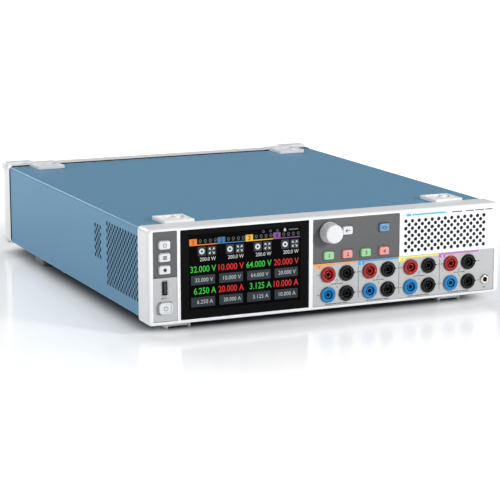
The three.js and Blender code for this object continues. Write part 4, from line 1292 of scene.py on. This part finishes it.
screws, wells = [], []
fan_x, _, fan_z = middle("fan_frame")
FAN_HOLES = 25
screw_places = [(sx * 171, sz, 2.6) for sx in (-1, 1) for sz in (14, 76)]
screw_places += [(x, 79.5, 2.6) for x in (-60, 60)]
screw_places += [
    (fan_x + sx * FAN_HOLES, fan_z + sz * FAN_HOLES, 2.4) for sx in (-1, 1) for sz in (-1, 1)
]
for x, z, radius in screw_places:
    head, well = screw_head(x, z, PLATE_BACK, radius)
    screws.append(head)
    wells.append(well)
heads = skin("panel_screws", *screws)
carve(heads, skin("screw_wells", *wells))
fit(heads, steel)


def wire_ring(x, y, z, radius, wire_radius, sides=48, around=8):
    """A ring of round wire: a small circle carried round a large one."""
    big = np.linspace(0, 2 * math.pi, sides, endpoint=False)[:, None]
    small = np.linspace(0, 2 * math.pi, around, endpoint=False)[None]
    reach = radius + wire_radius * np.cos(small)
    depth = y + wire_radius * np.sin(small) + 0 * big
    return np.stack([x + reach * np.cos(big), depth, z + reach * np.sin(big)], -1)


GUARD_Y = PLATE_BACK + 3.2
guard_rings = [wire_ring(fan_x, GUARD_Y, fan_z, r, 0.7) for r in (6, 12, 18, 24, 29)]
guard = skin("fan_guard", *guard_rings, loop=True)
spokes = []
for turn in (45, 135):
    way = np.array([math.cos(math.radians(turn)), math.sin(math.radians(turn))])
    ends = [np.array([fan_x, fan_z]) + s * way * 33 for s in (-1, 1)]
    spokes.append(stroke(ends, 1.3, GUARD_Y - 1.4, 1.3))
spoke_piece = skin("fan_guard_spokes", *spokes)
fit(guard, steel)
fit(spoke_piece, steel)
recoat("fan_frame", black_moulding)
recoat("fan_rotor", black_moulding)

# The mains inlet: one black moulding with the plug well and the rocker's well.
recoat("mains_inlet", black_moulding)
recoat("mains_switch", black_moulding)
terminal_plastic = finish(
    "terminal_plastic", (0.06, 0.26, 0.13), (0.05, 0.22, 0.11), (0.4, 0.55)
)
recoat("rear_terminal_block", terminal_plastic)

PORTS = (
    ("network_port", (-46, -30, 22, 35), 0.8),
    ("serial_port", (-70, -57.5, 23, 34.5), 0.7),
)
for name, (x0, x1, z0, z1), wall in PORTS:
    rows = [
        (0, PLATE_BACK - 1), (0, PLATE_BACK + 1.6), (0.2, PLATE_BACK + 1.8),
        (wall, PLATE_BACK + 1.8), (wall, PLATE_BACK + 0.2),
    ]
    fit(skin(name, rounded(x0, x1, z0, z1, 0.8, rows, steps=4, hold=0.1)), steel)
    inner = [(wall, PLATE_BACK + 0.1), (wall, PLATE_BACK + 0.4), (wall + 0.2, PLATE_BACK + 0.6)]
    inside = skin(name + "_inside", rounded(x0, x1, z0, z1, 0.8, inner, steps=4, hold=0.1))
    fit(inside, black_moulding)

# ---- Inside -----------------------------------------------------------------------
# What shows through the vents and the fan: boards, the mains module and the heat sink.
board = finish(
    "board_lacquer", (0.020, 0.115, 0.055), (0.014, 0.085, 0.040), (0.3, 0.42),
    grain=(900.0, 0.05), drift=240.0,
)
for node in ("front_board", "main_board"):
    recoat(node, board)
recoat("mains_module", zinc)
aluminium = finish(
    "extruded_aluminium", (0.60, 0.61, 0.62), (0.52, 0.53, 0.55), (0.3, 0.45),
    grain=(500.0, 0.06), drift=90.0, Metallic=1.0,
)
recoat("heat_sink", aluminium)
